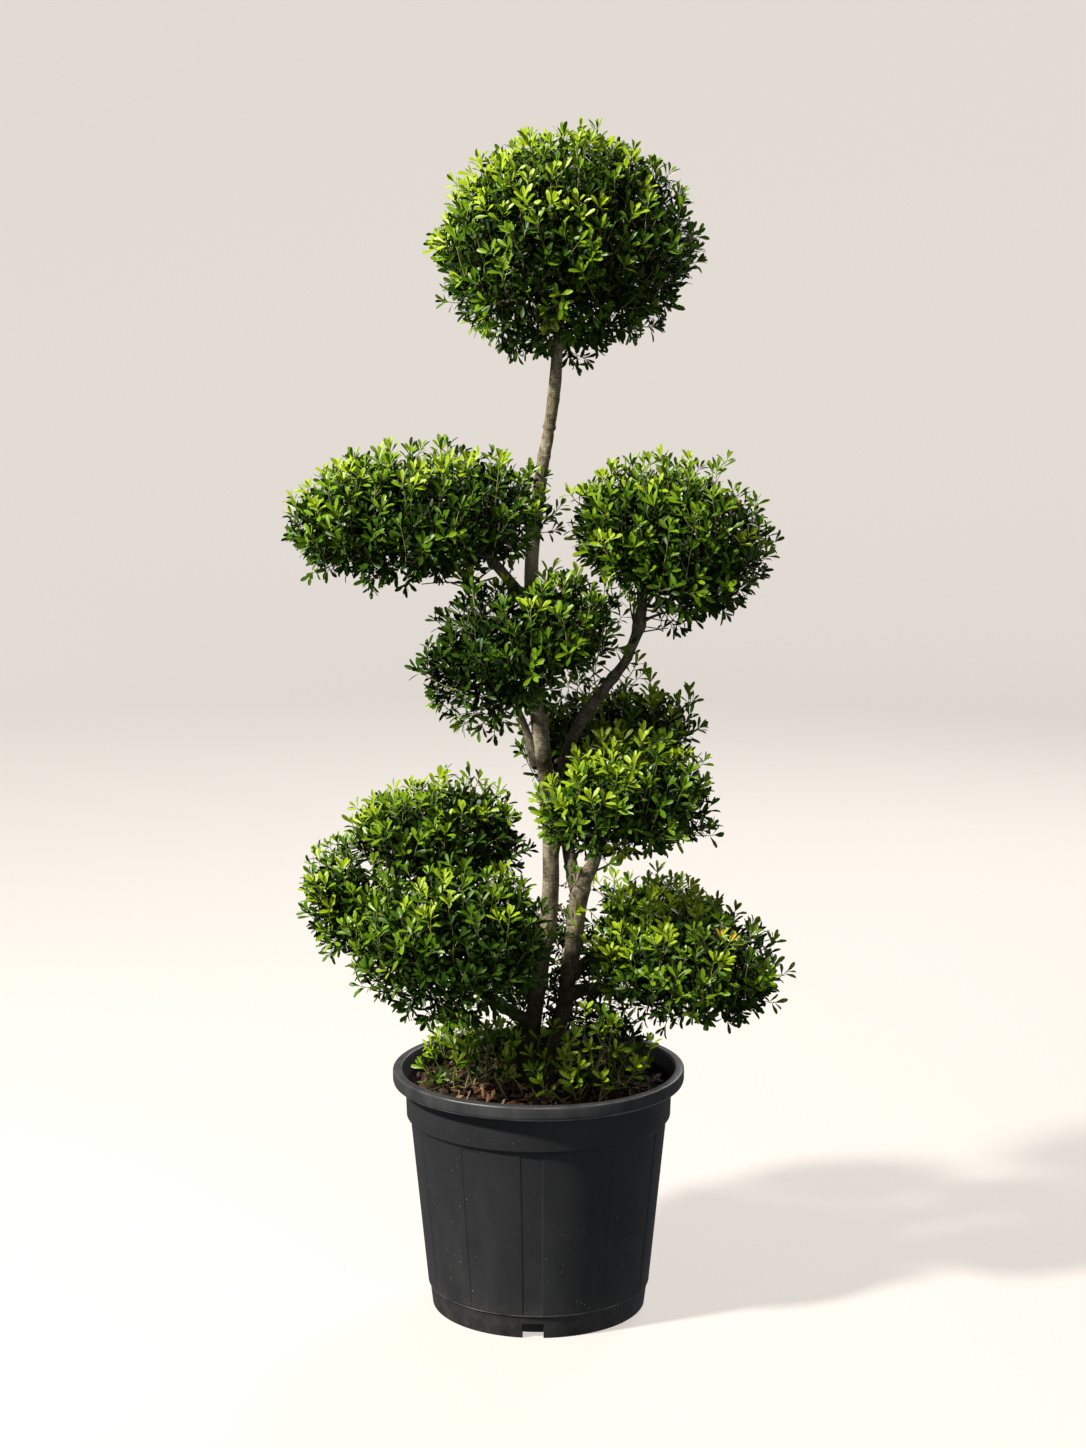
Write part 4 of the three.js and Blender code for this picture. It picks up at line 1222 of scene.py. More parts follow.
for name, cloud in CLOUDS.items():
    rng = np.random.default_rng(cloud["seed"] * 1009)
    heaps, wood, green = {}, Heap(), Heap()
    bases = []
    for n_layer, layer in enumerate(LAYERS):
        gap = cloud["spacing"] * MM * layer["gap"]
        p, _ = skin_points(name, 9000 if n_layer < 2 else 6000, rng)
        n = outward(cloud, p)
        d0, d1 = layer["deep"]
        depth = (d0 + (d1 - d0) * rng.random(len(p))) * MM
        if n_layer > 1:
            p = p - n * depth[:, None]
        p_ok = (p[:, 2] > SOIL + 0.004) & off_other_clouds(name, p)
        for middle, reach in cloud.get("clear", ()):
            p_ok &= np.linalg.norm(p - np.array(middle) * MM, axis=1) > reach * MM
        if n_layer > 1:
            # the underside is thinner, so that light comes through
            p_ok &= n[:, 2] > (-0.75 if n_layer == 2 else -0.45) - cloud.get("full_below", 0)
        p, n, depth = p[p_ok], n[p_ok], depth[p_ok]
        thin = 1.0 + 0.22 * smooth(0.0, -0.8, n[:, 2]) + 0.14 * np.clip(noise(p / 0.06, cloud["seed"]), 0, 1)
        pick = spread(p, gap * thin, rng)
        p, n, depth = p[pick], n[pick], depth[pick]
        ok = off_limbs(p, 0.006 + 0.003 * n_layer)
        p, n, depth = p[ok], n[ok], depth[ok]
        p = p - n * clipped(cloud, p, n)[:, None]
        if n_layer < 2:
            if n_layer == 0:
                depth = depth + 0.007 * np.clip(noise(p / 0.055, cloud["seed"] + 3), -1, 1)
                # the underside is clipped closer than the top
                depth = depth + 0.008 * smooth(0.1, -0.5, n[:, 2])
                totals["tips"] += len(p)
            p = p - n * depth[:, None]
        way = shoot_way(n, rng, layer["lift"])
        l0, l1 = layer["long"]
        length = (l0 + (l1 - l0) * rng.random(len(p))) * MM
        if "open_to" in cloud:
            # shoots that would shade it stand further forward instead
            for step in (0.024, 0.018):
                p = np.where(in_the_light(cloud, p, way, length)[:, None], p, p + np.array([0.003, -1, 0.14]) * step)
            ok = in_the_light(cloud, p, way, length)
            p, n, way, length = p[ok], n[ok], way[ok], length[ok]
        if n_layer == 0:
            # a few shoots have grown on since the last clipping, and stand straighter
            stray = rng.random(len(p)) < cloud["stray"] * (0.4 + 1.6 * np.clip(n[:, 2], 0, 1))
            way = np.where(stray[:, None], unit(way + UP * 0.5), way)
            p = p + way * np.where(stray, 0.007 + 0.009 * rng.random(len(p)), 0)[:, None]
            length = length + np.where(stray, 0.012, 0)
            p[:, 0] = np.maximum(p[:, 0], -0.343)
        hue = deal(
            n, p, rng, n_layer, cloud["seed"], cloud.get("gold", 0) if n_layer == 0 else 0,
            cloud.get("lift", 0) - dimmed(cloud, p),
        )
        base, path = dress(
            p, way, n, length, rng, layer["rows"], layer["shape"], hue, heaps, green if n_layer < 2 else wood,
            layer["size"], darken_rows=(6, 8, 10) if n_layer == 0 else ((4, 6) if n_layer == 1 else (3, 9)),
        )
        if n_layer == 0:
            side_shoots(path, way, n, length, hue, rng, (0.70, 0.30), heaps, green)
            if "leaders" in cloud:
                tip = np.array(cloud["leaders"], dtype=float) * MM
                n_tip = outward(cloud, tip)
                up = unit(UP + n_tip * 0.12 + rng.normal(0, 0.10, (len(tip), 3)))
                tall, _ = dress(
                    tip, up, n_tip, np.full(len(tip), 0.058), rng, TALL, LEAF_FINE, rng.integers(0, 2, len(tip)), heaps,
                    green, 1.04, 0.0010, (7, 9, 11),
                )
                bases.append(tall)
        bases.append(base)
    roots = [limb_root(*r) for r in cloud["roots"]]
    made = branch(roots, np.concatenate(bases), cloud["seed"] * 31)
    add_branches(made, wood)
    finish_cloud(name, heaps, wood, green)

# ------------------------------------------------------------------ shoots at the foot
for name, cloud in FEET.items():
    rng = np.random.default_rng(cloud["seed"] * 1009)
    gap = cloud["spacing"] * MM
    candidates, area = skin_points(name, 4000, rng)
    keep = (candidates[:, 2] > SOIL + 0.012) & off_other_clouds(name, candidates)
    candidates = candidates[keep]
    n_all = outward(cloud, candidates)
    pick = spread(candidates, np.full(len(candidates), gap), rng)
    tip, n = candidates[pick], n_all[pick]
    # sprays stand in groups with dark gaps between them
    ok = off_limbs(tip, 0.006) & (noise(tip / 0.034, cloud["seed"] + 5) > (-0.08 if "front" in cloud else -0.22))
    ok &= ~((np.abs(tip[:, 0] - 0.006) < 0.030) & (tip[:, 1] < -0.03))
    tip, n = tip[ok], n[ok]
    tip = tip - n * (0.004 + rng.random(len(tip)) * 0.030)[:, None]
    way = unit(n * 0.55 + UP * 0.8 + rng.normal(0, 0.30, (len(tip), 3)))
    length = 0.036 + 0.026 * rng.random(len(tip))
    low = tip[:, 2] - way[:, 2] * length < SOIL + 0.004
    length = np.where(low, np.maximum(0.016, (tip[:, 2] - SOIL - 0.004) / np.maximum(way[:, 2], 0.25)), length)
    heaps, wood, green = {}, Heap(), Heap()
    hue = deal(n, tip, rng, 0, cloud["seed"], lift=cloud["lift"] + 1.1 * noise(tip / 0.036, cloud["seed"] + 8))
    base, path = dress(tip, way, n, length, rng, FULL, LEAF_FINE, hue, heaps, green, 1.0, 0.0011, (4, 6, 8))
    side_shoots(path, way, n, length, hue, rng, (0.55,), heaps, green, 0.90)
    if "front" in cloud:
        tip = np.array(cloud["front"], dtype=float) * MM
        count = len(tip)
        n = unit(tip - np.array([0.045, -0.06, 0.36]))
        way = unit(n * 0.45 + UP * 0.75 + np.array([0, -0.2, 0]) + rng.normal(0, 0.22, (count, 3)))
        length = np.minimum(0.034 + 0.012 * rng.random(count), np.maximum(0.016, (tip[:, 2] - SOIL - 0.012)))
        hue = rng.choice([0, 0, 0, 1, 2], count)
        more, path = dress(tip, way, n, length, rng, MIDDLE, LEAF_FINE, hue, heaps, green, 1.0, 0.0010, (5, 7, 9))
        side_shoots(path, way, n, length, hue, rng, (0.35,), heaps, green, 0.92)
        base = np.concatenate([base, more])
    roots = []
    for x, y in cloud["bases"]:
        roots.append(dict(at=np.array([x * MM, y * MM, SOIL - 0.002]), way=unit(np.array([x * 0.004, y * 0.002, 1.0])), radius=0.0026))
    made = branch(roots, base, cloud["seed"] * 31, 0.0010)
    add_branches(made, green)
    finish_cloud(name, heaps, wood, green)

# ------------------------------------------------------------------ bare twigs that show
TWIGS = [
    # points in millimetres, radius at both ends
    ([(-55, -50, 1011), (-87, -60, 1004), (-122, -65, 1006), (-153, -60, 1003)], 1.5, 0.7),
    ([(-38, -20, 1014), (-34, -15, 1024), (-30, -10, 1034)], 1.2, 0.7),
    ([(-25, -30, 812), (-51, -40, 817), (-75, -50, 820)], 1.6, 0.8),
    ([(26, 0, 586), (33, -8, 589), (40, -14, 596)], 1.1, 0.6),
    ([(26, 0, 560), (33, -7, 552), (42, -14, 543)], 1.2, 0.6),
    ([(68, -6, 604), (92, -20, 618), (112, -40, 637), (138, -50, 641)], 1.9, 1.0),
    ([(129, 30, 940), (124, 26, 962), (122, 20, 989)], 1.6, 0.9),
    ([(131, 30, 930), (141, 22, 944), (156, 14, 953), (176, 8, 960)], 3.3, 1.4),
    ([(134, 29, 944), (146, 20, 966), (158, 12, 988)], 2.6, 1.3),
    ([(131, 29, 936), (128, 22, 958), (130, 16, 984)], 2.3, 1.2),
    ([(132, 30, 928), (152, 26, 932), (174, 20, 936)], 1.4, 0.8),
    ([(24, -6, 758), (28, -16, 762), (30, -21, 765)], 3.6, 2.9),
    ([(104, 34, 868), (112, 24, 884), (118, 10, 905)], 1.2, 0.6),
]
extra = Heap()
for points, r0, r1 in TWIGS:
    pts, rad = smooth_path([(*p, r0 + (r1 - r0) * i / (len(points) - 1)) for i, p in enumerate(points)], 5)
    extra.add(*tubes(pts[None], rad[None], 6, close=True))
extra.make("twigs_bare", TWIG_COLOURS["wood"], "bark")

# short leafy shoots that stand straight on the stems
rng = np.random.default_rng(77)
spurs = np.array([
    (-95, -62, 1012, -0.3, -0.2, 1.0), (44, 6, 905, -0.6, -0.3, 1.0), (56, 12, 884, -0.5, -0.3, 1.0),
    (66, 20, 866, -0.5, -0.4, 1.0), (62, 14, 918, -0.2, -0.4, 1.0), (76, 24, 890, 0.0, -0.3, 1.0),
    (128, 24, 880, 0.5, -0.3, 0.9), (134, 22, 866, 0.6, -0.3, 0.7), (42, -14, 600, 0.4, -0.4, 1.0),
    (44, -16, 548, 0.6, -0.5, 0.6), (150, -50, 655, 0.7, -0.2, 0.9), (-80, -54, 828, -0.6, -0.2, 0.8),
    (120, -44, 652, 0.1, -0.3, 1.0),
])
# and dark ones behind and between the two stems, dealt dark colours as painted shade
behind = []
while len(behind) < 190:
    x = rng.uniform(-44, 122)
    high = 545 if x < 62 else 520
    q = np.array([x, rng.uniform(20, 84), rng.uniform(338, high)])
    if all(np.linalg.norm(q - b[:3]) > 13.5 for b in behind):
        behind.append(np.concatenate([q, rng.normal(0, 0.55, 2), [rng.uniform(0.2, 1.0)]]))
front_of_foot = np.array([
    (3, -34, 376, 0.1, -0.3, 1.0), (-9, -36, 352, -0.3, -0.4, 1.0), (17, -34, 388, 0.3, -0.2, 1.0),
    (8, -46, 346, 0.0, -0.3, 1.0), (29, -38, 348, 0.5, -0.4, 0.8),
])
hanging = np.array([
    (176, 18, 944, 0.5, -0.4, -0.9), (184, 16, 945, 0.7, -0.3, -0.7), (192, 14, 948, 0.9, -0.2, 0.1), (170, 18, 948, 0.1, -0.3, 0.9),
])
# sprays of the upper left cloud that stand past the trunk
past_trunk = np.array([
    (1, -88, 1112, 0.2, -0.3, 1.0), (-4, -92, 1090, 0.0, -0.4, 1.0), (20, -22, 1096, 0.9, -0.2, 0.7),
    (11, -22, 1070, 0.7, -0.2, 0.1), (-12, -84, 1106, 0.1, -0.4, 0.9),
])
spurs = np.concatenate([spurs, front_of_foot, np.array(behind), hanging, past_trunk])
s_tip = spurs[:, :3] * MM
s_way = unit(spurs[:, 3:])
heaps, wood, green = {}, Heap(), Heap()
s_len = np.full(len(s_tip), 0.030)
s_hue = np.where(np.arange(len(s_tip)) < 13, np.arange(len(s_tip)) % 3, np.where(np.arange(len(s_tip)) < 18, 0, 3))
# painted shade: the low ones get the darkest colour
s_hue = np.where((s_hue == 3) & (s_tip[:, 2] < 0.44), 4, s_hue)
s_hue[-len(past_trunk):] = [0, 0, 1, 2, 0]
s_base, _ = dress(s_tip + s_way * 0.012, s_way, s_way, s_len, rng, FULL, LEAF_FINE, s_hue, heaps, green, 0.88)
# thin twigs that arch up by the upper right bough, with leaves to both sides
for points, count, size in [
    ([(79, 14, 852), (74, 12, 876), (78, 10, 896), (92, 10, 908), (110, 10, 911)], 11, 0.96),
    ([(74, 12, 878), (66, 12, 892), (64, 12, 910), (70, 10, 926)], 7, 0.90),
    ([(120, 30, 884), (127, 26, 896), (122, 24, 912), (128, 22, 928)], 6, 0.80),
]:
    pts, rad = smooth_path([(*q, 0.9 - 0.1 * i) for i, q in enumerate(points)], 6)
    green.add(*tubes(pts[None], rad[None], 4, close=True))
    s = (np.arange(count) + 0.6) / count * (len(pts) - 2)
    i = s.astype(int)
    at = pts[i] + (pts[i + 1] - pts[i]) * (s - i)[:, None]
    ax = unit(pts[i + 1] - pts[i])
    out = unit(np.cross(ax, unit(np.array([0.15, -1.0, 0.1]) + rng.normal(0, 0.35, (count, 3)))))
    out = out * np.where(np.arange(count) % 2 == 0, 1, -1)[:, None]
    a = np.radians(rng.uniform(38, 66, count))[:, None]
    a[-1] = 0.15
    big = 0.0184 * size * rng.uniform(0.88, 1.12, count)
    v, f = leaves(
        LEAF_FINE, at, np.cos(a) * ax + np.sin(a) * out, unit(np.array([-0.3, -0.8, 0.4]) + rng.normal(0, 0.35, (count, 3))),
        big, big * 0.17, np.full(count, 0.25), np.full(count, 0.12),
    )
    heaps.setdefault("deep", Heap()).add(v, f)
for key, heap in sorted(heaps.items()):
    heap.make(f"leaves_spurs_{key}", LEAF_COLOURS[key], "leaves")
    totals["leaves"] += heap.triangles()
# each spur's twig runs on to the nearest limb
links = {"thick": [], "mid": [], "thin": []}
for b_at in s_base:
    _, j, d = limb_tree.find(b_at)
    if d < 0.09:
        made_path(links, LIMB_TREE_POINTS[j], unit(b_at - LIMB_TREE_POINTS[j]), b_at, 0.0011, 0.0008, rng)
add_branches(links, green)
green.make("shoots_spurs", TWIG_COLOURS["green"], "bark")

# ------------------------------------------------------------------ pot
BANDS = [-59.5, -31.0, -2.9, 29.6, 60, 90, 120, 150, 180, -150, -120, -90]  # shallow grooves, degrees from the face
BAND_HALF = 0.0137  # half a groove's width
NOTCH_TURN, NOTCH_HALF, NOTCH_TOP = -2.9, 0.01425, 0.021


def rounded(a, b, c, r, n=4):
    """The corner at b, between a and c, as an arc of n steps."""
    a, b, c = (np.array(p, dtype=float) for p in (a, b, c))
    u, v = unit(a - b), unit(c - b)
    half = math.acos(np.clip(u @ v, -1, 1)) / 2
    back = min(r / math.tan(half), 0.45 * np.linalg.norm(a - b), 0.45 * np.linalg.norm(c - b))
    r = back * math.tan(half)
    centre = b + unit(u + v) * (r / math.sin(half))
    p0, p1 = b + u * back - centre, b + v * back - centre
    a0, a1 = math.atan2(p0[1], p0[0]), math.atan2(p1[1], p1[0])
    turn = (a1 - a0 + math.pi) % (2 * math.pi) - math.pi
    return [tuple(centre + r * np.array([math.cos(a0 + turn * i / n), math.sin(a0 + turn * i / n)])) for i in range(n + 1)]


def pot_profile():
    """Radius and height in millimetres, round the section of the moulding."""
    corners = [
        # outside, from the underside up
        (0, 0, 0), (125.6, 0, 1.2), (128, 22.5, 1.0), (142.5, 22.5, 1.0), (143.5, 0.2, 0.5), (147, 0.2, 1.0),
        (150.8, 31.2, 0.5), (153, 32.4, 0.9), (176.0, 264.0, 0.8), (181.4, 269.2, 1.0), (183, 315.6, 1.6),
        (198.6, 315.4, 2.4), (200, 320, 2.0), (200, 334.6, 2.8), (188.3, 335, 1.8), (186.3, 331.5, 1.5),
        (181.0, 315.5, 4.0), (178.8, 272, 3.0), (172.3, 258.5, 3.0), (150, 33.5, 2.0), (146.5, 25.5, 2.0),
        (125, 25.5, 1.0), (123, 3, 1.0), (0, 3, 0),
    ]
    out = [corners[0][:2]]
    for i in range(1, len(corners) - 1):
        a, b, c = corners[i - 1], corners[i], corners[i + 1]
        out += rounded(a[:2], b[:2], c[:2], b[2], 4 if b[2] > 1.4 else 3)
    out.append(corners[-1][:2])
    # rows on the tapering wall, so that the grooves' ends and the notches' tops are sharp
    dense = [out[0]]
    for p in out[1:]:
        q = dense[-1]
        rows = [z for z in (21.0, 36.0, 60, 100, 140, 180, 220, 249.0, 260.4, 261.4, 262.0, 292) if min(q[1], p[1]) < z < max(q[1], p[1])]
        if p[1] < q[1]:
            rows = rows[::-1]
        for z in rows:
            w = (z - q[1]) / (p[1] - q[1])
            dense.append((q[0] + (p[0] - q[0]) * w, z))
        dense.append(p)
    return np.array(dense) * MM


def pot_angles():
    base = list(np.arange(0, 360, 1.5))
    for mid in BANDS:
        for r in (0.163,):
            for off in (-BAND_HALF - 0.0012, -BAND_HALF - 0.0004, -BAND_HALF + 0.0004, -BAND_HALF + 0.0012,
                        BAND_HALF - 0.0012, BAND_HALF - 0.0004, BAND_HALF + 0.0004, BAND_HALF + 0.0012):
                base.append((mid + math.degrees(off / r)) % 360)
    for q in range(4):
        for off in (-NOTCH_HALF, NOTCH_HALF):
            base.append((NOTCH_TURN + 90 * q + math.degrees(off / 0.147)) % 360)
    base = np.sort(np.array(base))
    keep = np.concatenate([[True], np.diff(base) > 0.06])
    return base[keep]


profile = pot_profile()
angles = np.radians(pot_angles())
pr, pz = profile[1:-1, 0], profile[1:-1, 1]
ring_count = len(angles)
R = np.repeat(pr[:, None], ring_count, 1)
Z = np.repeat(pz[:, None], ring_count, 1)
A = np.repeat(angles[None], len(pr), 0)
# the outer wall carries the grooves
outer_end = int(np.argmax(profile[1:-1, 1]))
is_outer = (np.arange(len(pr)) <= outer_end)[:, None]
wall_part = is_outer & (Z > 0.0330) & (Z < 0.2625)
groove = np.zeros_like(R)
for mid in BANDS:
    d = np.abs((A - math.radians(mid) + np.pi) % (2 * np.pi) - np.pi) * 0.163
    groove = np.maximum(groove, 1 - smooth(BAND_HALF - 0.0006, BAND_HALF + 0.0006, d))
groove *= 1 - smooth(0.2606, 0.2616, Z)
groove *= smooth(0.0335, 0.0352, Z)
R = R - np.where(wall_part, groove * 0.0010, 0)
# the wall isn't quite round
R = R * (1 + 0.0016 * np.cos(2 * A + 0.6) + 0.0008 * np.cos(5 * A + 2.0))
rim_wave = 0.0007 * np.cos(3 * A + 1.0) * smooth(0.30, 0.33, Z)
X = R * np.sin(A)
Y = -R * np.cos(A)
pot_v = np.stack([X, Y, np.maximum(Z + rim_wave, 0)], -1).reshape(-1, 3)
rows_n = len(pr)
i0 = (np.arange(rows_n - 1) * ring_count)[:, None]
j0 = np.arange(ring_count)[None]
j1 = (j0 + 1) % ring_count
pot_q = np.stack([i0 + j0, i0 + j1, i0 + ring_count + j1, i0 + ring_count + j0], -1)
# the notches: faces of the foot inside them are left out, and the cut's sides are closed
mid_angle = (angles + np.roll(np.where(angles > 0, angles, 0), -1)) / 2
mid_angle[-1] = (angles[-1] + 2 * np.pi) / 2 + np.pi / 2 * 0
in_notch = np.zeros(ring_count, dtype=bool)
for q in range(4):
    c = math.radians(NOTCH_TURN + 90 * q)
    nxt = np.concatenate([angles[1:], [angles[0] + 2 * np.pi]])
    m = (angles + nxt) / 2
    d = np.abs((m - c + np.pi) % (2 * np.pi) - np.pi) * 0.147
    in_notch |= d < NOTCH_HALF - 0.0001
row_mid = (profile[1:-2, :] + profile[2:-1, :]) / 2
in_foot = (row_mid[:, 0] > 0.1419) & (row_mid[:, 0] < 0.1502) & (row_mid[:, 1] < NOTCH_TOP) & (np.arange(rows_n - 1) <= outer_end)
cut = in_foot[:, None] & in_notch[None]
pot_faces = [pot_q[~cut]]
foot_rows = np.where(in_foot)[0]
first, last = foot_rows[0], foot_rows[-1] + 1
edges_of = []
for j in range(ring_count):
    before, after = in_notch[j - 1], in_notch[j]
    if before != after:
        column = [i * ring_count + j for i in range(first, last + 1)]
        edges_of.append((column if before else column[::-1]))
# the top of each notch joins the channel's wall to the outside
top_faces = [
    (first * ring_count + j, last * ring_count + j, last * ring_count + (j + 1) % ring_count, first * ring_count + (j + 1) % ring_count)
    for j in np.where(in_notch)[0]
]
pot_faces.append(np.array(top_faces))
center_low, center_top = len(pot_v), len(pot_v) + 1
pot_v = np.concatenate([pot_v, [[0, 0, 0], [0, 0, 0.003]]])
fan_low = np.stack([np.full(ring_count, center_low), (np.arange(ring_count) + 1) % ring_count, np.arange(ring_count)], -1)
top_row = (rows_n - 1) * ring_count
fan_top = np.stack([np.full(ring_count, center_top), top_row + np.arange(ring_count), top_row + (np.arange(ring_count) + 1) % ring_count], -1)
pot_faces += [fan_low, fan_top]
# sides of the notches, as fans
side_faces = []
for column in edges_of:
    for i in range(1, len(column) - 1):
        side_faces.append((column[0], column[i], column[i + 1]))
pot_faces.append(np.array(side_faces))
pot = piece("pot_moulded", pot_v, pot_faces, pot_material(), ["pot"])
pot.data.set_sharp_from_angle(angle=math.radians(38))

# ------------------------------------------------------------------ soil
rng = np.random.default_rng(5)
soil_mat = rough_material(
    "soil_dark_peat", [(0.32, (0.012, 0.008, 0.005, 1)), (0.5, (0.040, 0.024, 0.014, 1)), (0.72, (0.110, 0.066, 0.038, 1))],
    90.0, 0.95, 260.0, 0.004,
)
rings, spokes = 64, 168
rr = np.concatenate([[0.0008], np.linspace(0.006, 0.1797, rings - 1)])
tt = np.arange(spokes) * 2 * np.pi / spokes
SX, SY = rr[:, None] * np.cos(tt)[None], rr[:, None] * np.sin(tt)[None]
flat_xy = np.stack([SX, SY, 0 * SX], -1)


def soil_height(xy):
    q = np.concatenate([xy[..., :2], np.zeros_like(xy[..., :1])], -1)
    h = 0.0028 * noise(q / 0.045, 1) + 0.0016 * noise(q / 0.014, 2) + 0.0010 * noise(q / 0.006, 3)
    r = np.linalg.norm(q, axis=-1)
    stem = np.hypot(q[..., 0] - 0.002, q[..., 1] + 0.008)
    return SOIL - 0.0005 + h + 0.004 * np.exp(-((stem / 0.035) ** 2)) - 0.003 * smooth(0.165, 0.18, r)


SZ = soil_height(flat_xy)
soil_v = np.stack([SX, SY, SZ], -1).reshape(-1, 3)
ii = (np.arange(rings - 1) * spokes)[:, None]
jj = np.arange(spokes)[None]
soil_q = np.stack([ii + jj, ii + spokes + jj, ii + spokes + (jj + 1) % spokes, ii + (jj + 1) % spokes], -1).reshape(-1, 4)
soil_fan = np.array([list(range(spokes - 1, -1, -1))])
soil_fan = soil_fan[:, ::-1]
piece("soil_surface", soil_v, [soil_q, soil_fan], soil_mat, ["soil"])


def scatter(count, inner, outer):
    r = np.sqrt(rng.uniform(inner**2, outer**2, count))
    a = rng.uniform(0, 2 * np.pi, count)
    p = np.stack([r * np.cos(a), r * np.sin(a), 0 * r], -1)
    p[:, 2] = soil_height(p)
    return p


def turned_axes(count, tilt):
    """Random frames that lie nearly flat: length, width and thickness directions."""
    a = rng.uniform(0, 2 * np.pi, count)
    n = unit(np.stack([rng.normal(0, tilt, count), rng.normal(0, tilt, count), np.ones(count)], -1))
    x = np.stack([np.cos(a), np.sin(a), 0 * a], -1)
    x = unit(x - n * np.sum(x * n, axis=1, keepdims=True))
    return x, np.cross(n, x), n


def chips(count, size, inner, outer, tilt=0.35):
    """Broken bark: uneven six-sided slabs."""
    at = scatter(count, inner, outer)
    x, y, z = turned_axes(count, tilt)
    long_ = size * rng.uniform(0.5, 1.3, count)
    wide = long_ * rng.uniform(0.35, 0.75, count)
    thick = long_ * rng.uniform(0.14, 0.32, count)
    turn = np.arange(6) * np.pi / 3
    ring = np.stack([np.cos(turn), np.sin(turn)], -1)
    verts = []
    for level, shrink in ((-0.5, 0.86), (0.35, 1.0), (0.5, 0.74)):
        ragged = rng.uniform(0.72, 1.12, (count, 6))
        verts.append(
            at[:, None] + z[:, None] * (level * thick + thick * 0.35)[:, None, None]
            + x[:, None] * (ring[None, :, 0] * ragged * shrink * long_[:, None] * 0.5)[..., None]
            + y[:, None] * (ring[None, :, 1] * ragged * shrink * wide[:, None] * 0.5)[..., None]
            + z[:, None] * (rng.normal(0, 0.10, (count, 6)) * thick[:, None])[..., None]
        )
    v = np.concatenate(verts, 1)
    base = (np.arange(count) * 18)[:, None, None]
    quads = []
    for lev in range(2):
        for k in range(6):
            quads.append((lev * 6 + k, lev * 6 + (k + 1) % 6, lev * 6 + 6 + (k + 1) % 6, lev * 6 + 6 + k))
    q = (base + np.array(quads)[None]).reshape(-1, 4)
    caps = (base + np.array([[12, 13, 14, 15, 16, 17]])[None]).reshape(-1, 6)
    return v.reshape(-1, 3), [q, caps]


bark_chip = rough_material(
    "chips_dark_bark", [(0.3, (0.014, 0.010, 0.007, 1)), (0.52, (0.045, 0.028, 0.017, 1)), (0.75, (0.130, 0.080, 0.048, 1))],
    55.0, 0.9, 300.0, 0.002,
)
heap = Heap()
heap.add(*chips(900, 0.010, 0.0, 0.176))
heap.add(*chips(340, 0.017, 0.0, 0.172))
heap.add(*chips(60, 0.026, 0.02, 0.166, 0.2))
heap.make("soil_bark_chips", bark_chip, "potting_soil", ["soil"], smooth_shade=False)
crumb = rough_material(
    "crumbs_peat", [(0.35, (0.011, 0.008, 0.005, 1)), (0.65, (0.060, 0.038, 0.023, 1))], 140.0, 0.95, 500.0, 0.001
)
heap = Heap()
heap.add(*chips(1500, 0.0048, 0.0, 0.178, 0.6))
heap.make("soil_crumbs", crumb, "potting_soil", ["soil"], smooth_shade=False)

# dry fallen leaves, thickest towards the front
litter = {
    "tan": leaf_material("litter_tan", (0.330, 0.195, 0.095), 0.7, 0.3),
    "russet": leaf_material("litter_russet", (0.165, 0.066, 0.030), 0.7, 0.3),
    "brown": leaf_material("litter_brown", (0.075, 0.040, 0.021), 0.75, 0.3),
}
LITTER = (
    np.array([(0, 0, 0), (-0.6, 0.3, 0.8), (0, 0.3, 0), (0.6, 0.3, 0.8), (-1.0, 0.62, 1), (0, 0.60, 0), (1.0, 0.62, 1),
              (-0.74, 0.90, 1), (0, 0.90, 0), (0.74, 0.90, 1), (0, 1.0, 0)]),
    [np.array([(0, 2, 1), (0, 3, 2), (7, 8, 10), (8, 9, 10)]),
     np.array([(1, 2, 5, 4), (2, 3, 6, 5), (4, 5, 8, 7), (5, 6, 9, 8)])],
)
for key, count in (("tan", 84), ("russet", 110), ("brown", 215)):
    p = scatter(count * 3, 0.0, 0.172)
    front = rng.random(len(p)) < np.where(p[:, 1] < 0.01, 0.95, 0.35) * (0.45 + 0.55 * smooth(-0.13, -0.05, p[:, 0]))
    front &= rng.random(len(p)) > 0.75 * smooth(0.05, 0.11, p[:, 0])
    p = p[front][:count]
    m = len(p)
    x, y, z = turned_axes(m, 0.45)
    p = p + UP * (0.003 + 0.004 * rng.random(m))[:, None]
    v, f = leaves(LITTER, p, x, z * rng.choice([-1, 1], m)[:, None], rng.normal(0.0175, 0.0022, m), rng.normal(0.0034, 0.0004, m),
                  rng.normal(0.5, 0.25, m), rng.normal(0.12, 0.14, m))
    v[:, 2] = np.maximum(v[:, 2], SOIL - 0.001)
    h = Heap()
    h.add(v, f)
    h.make("litter_" + key, litter[key], "potting_soil", ["soil"])

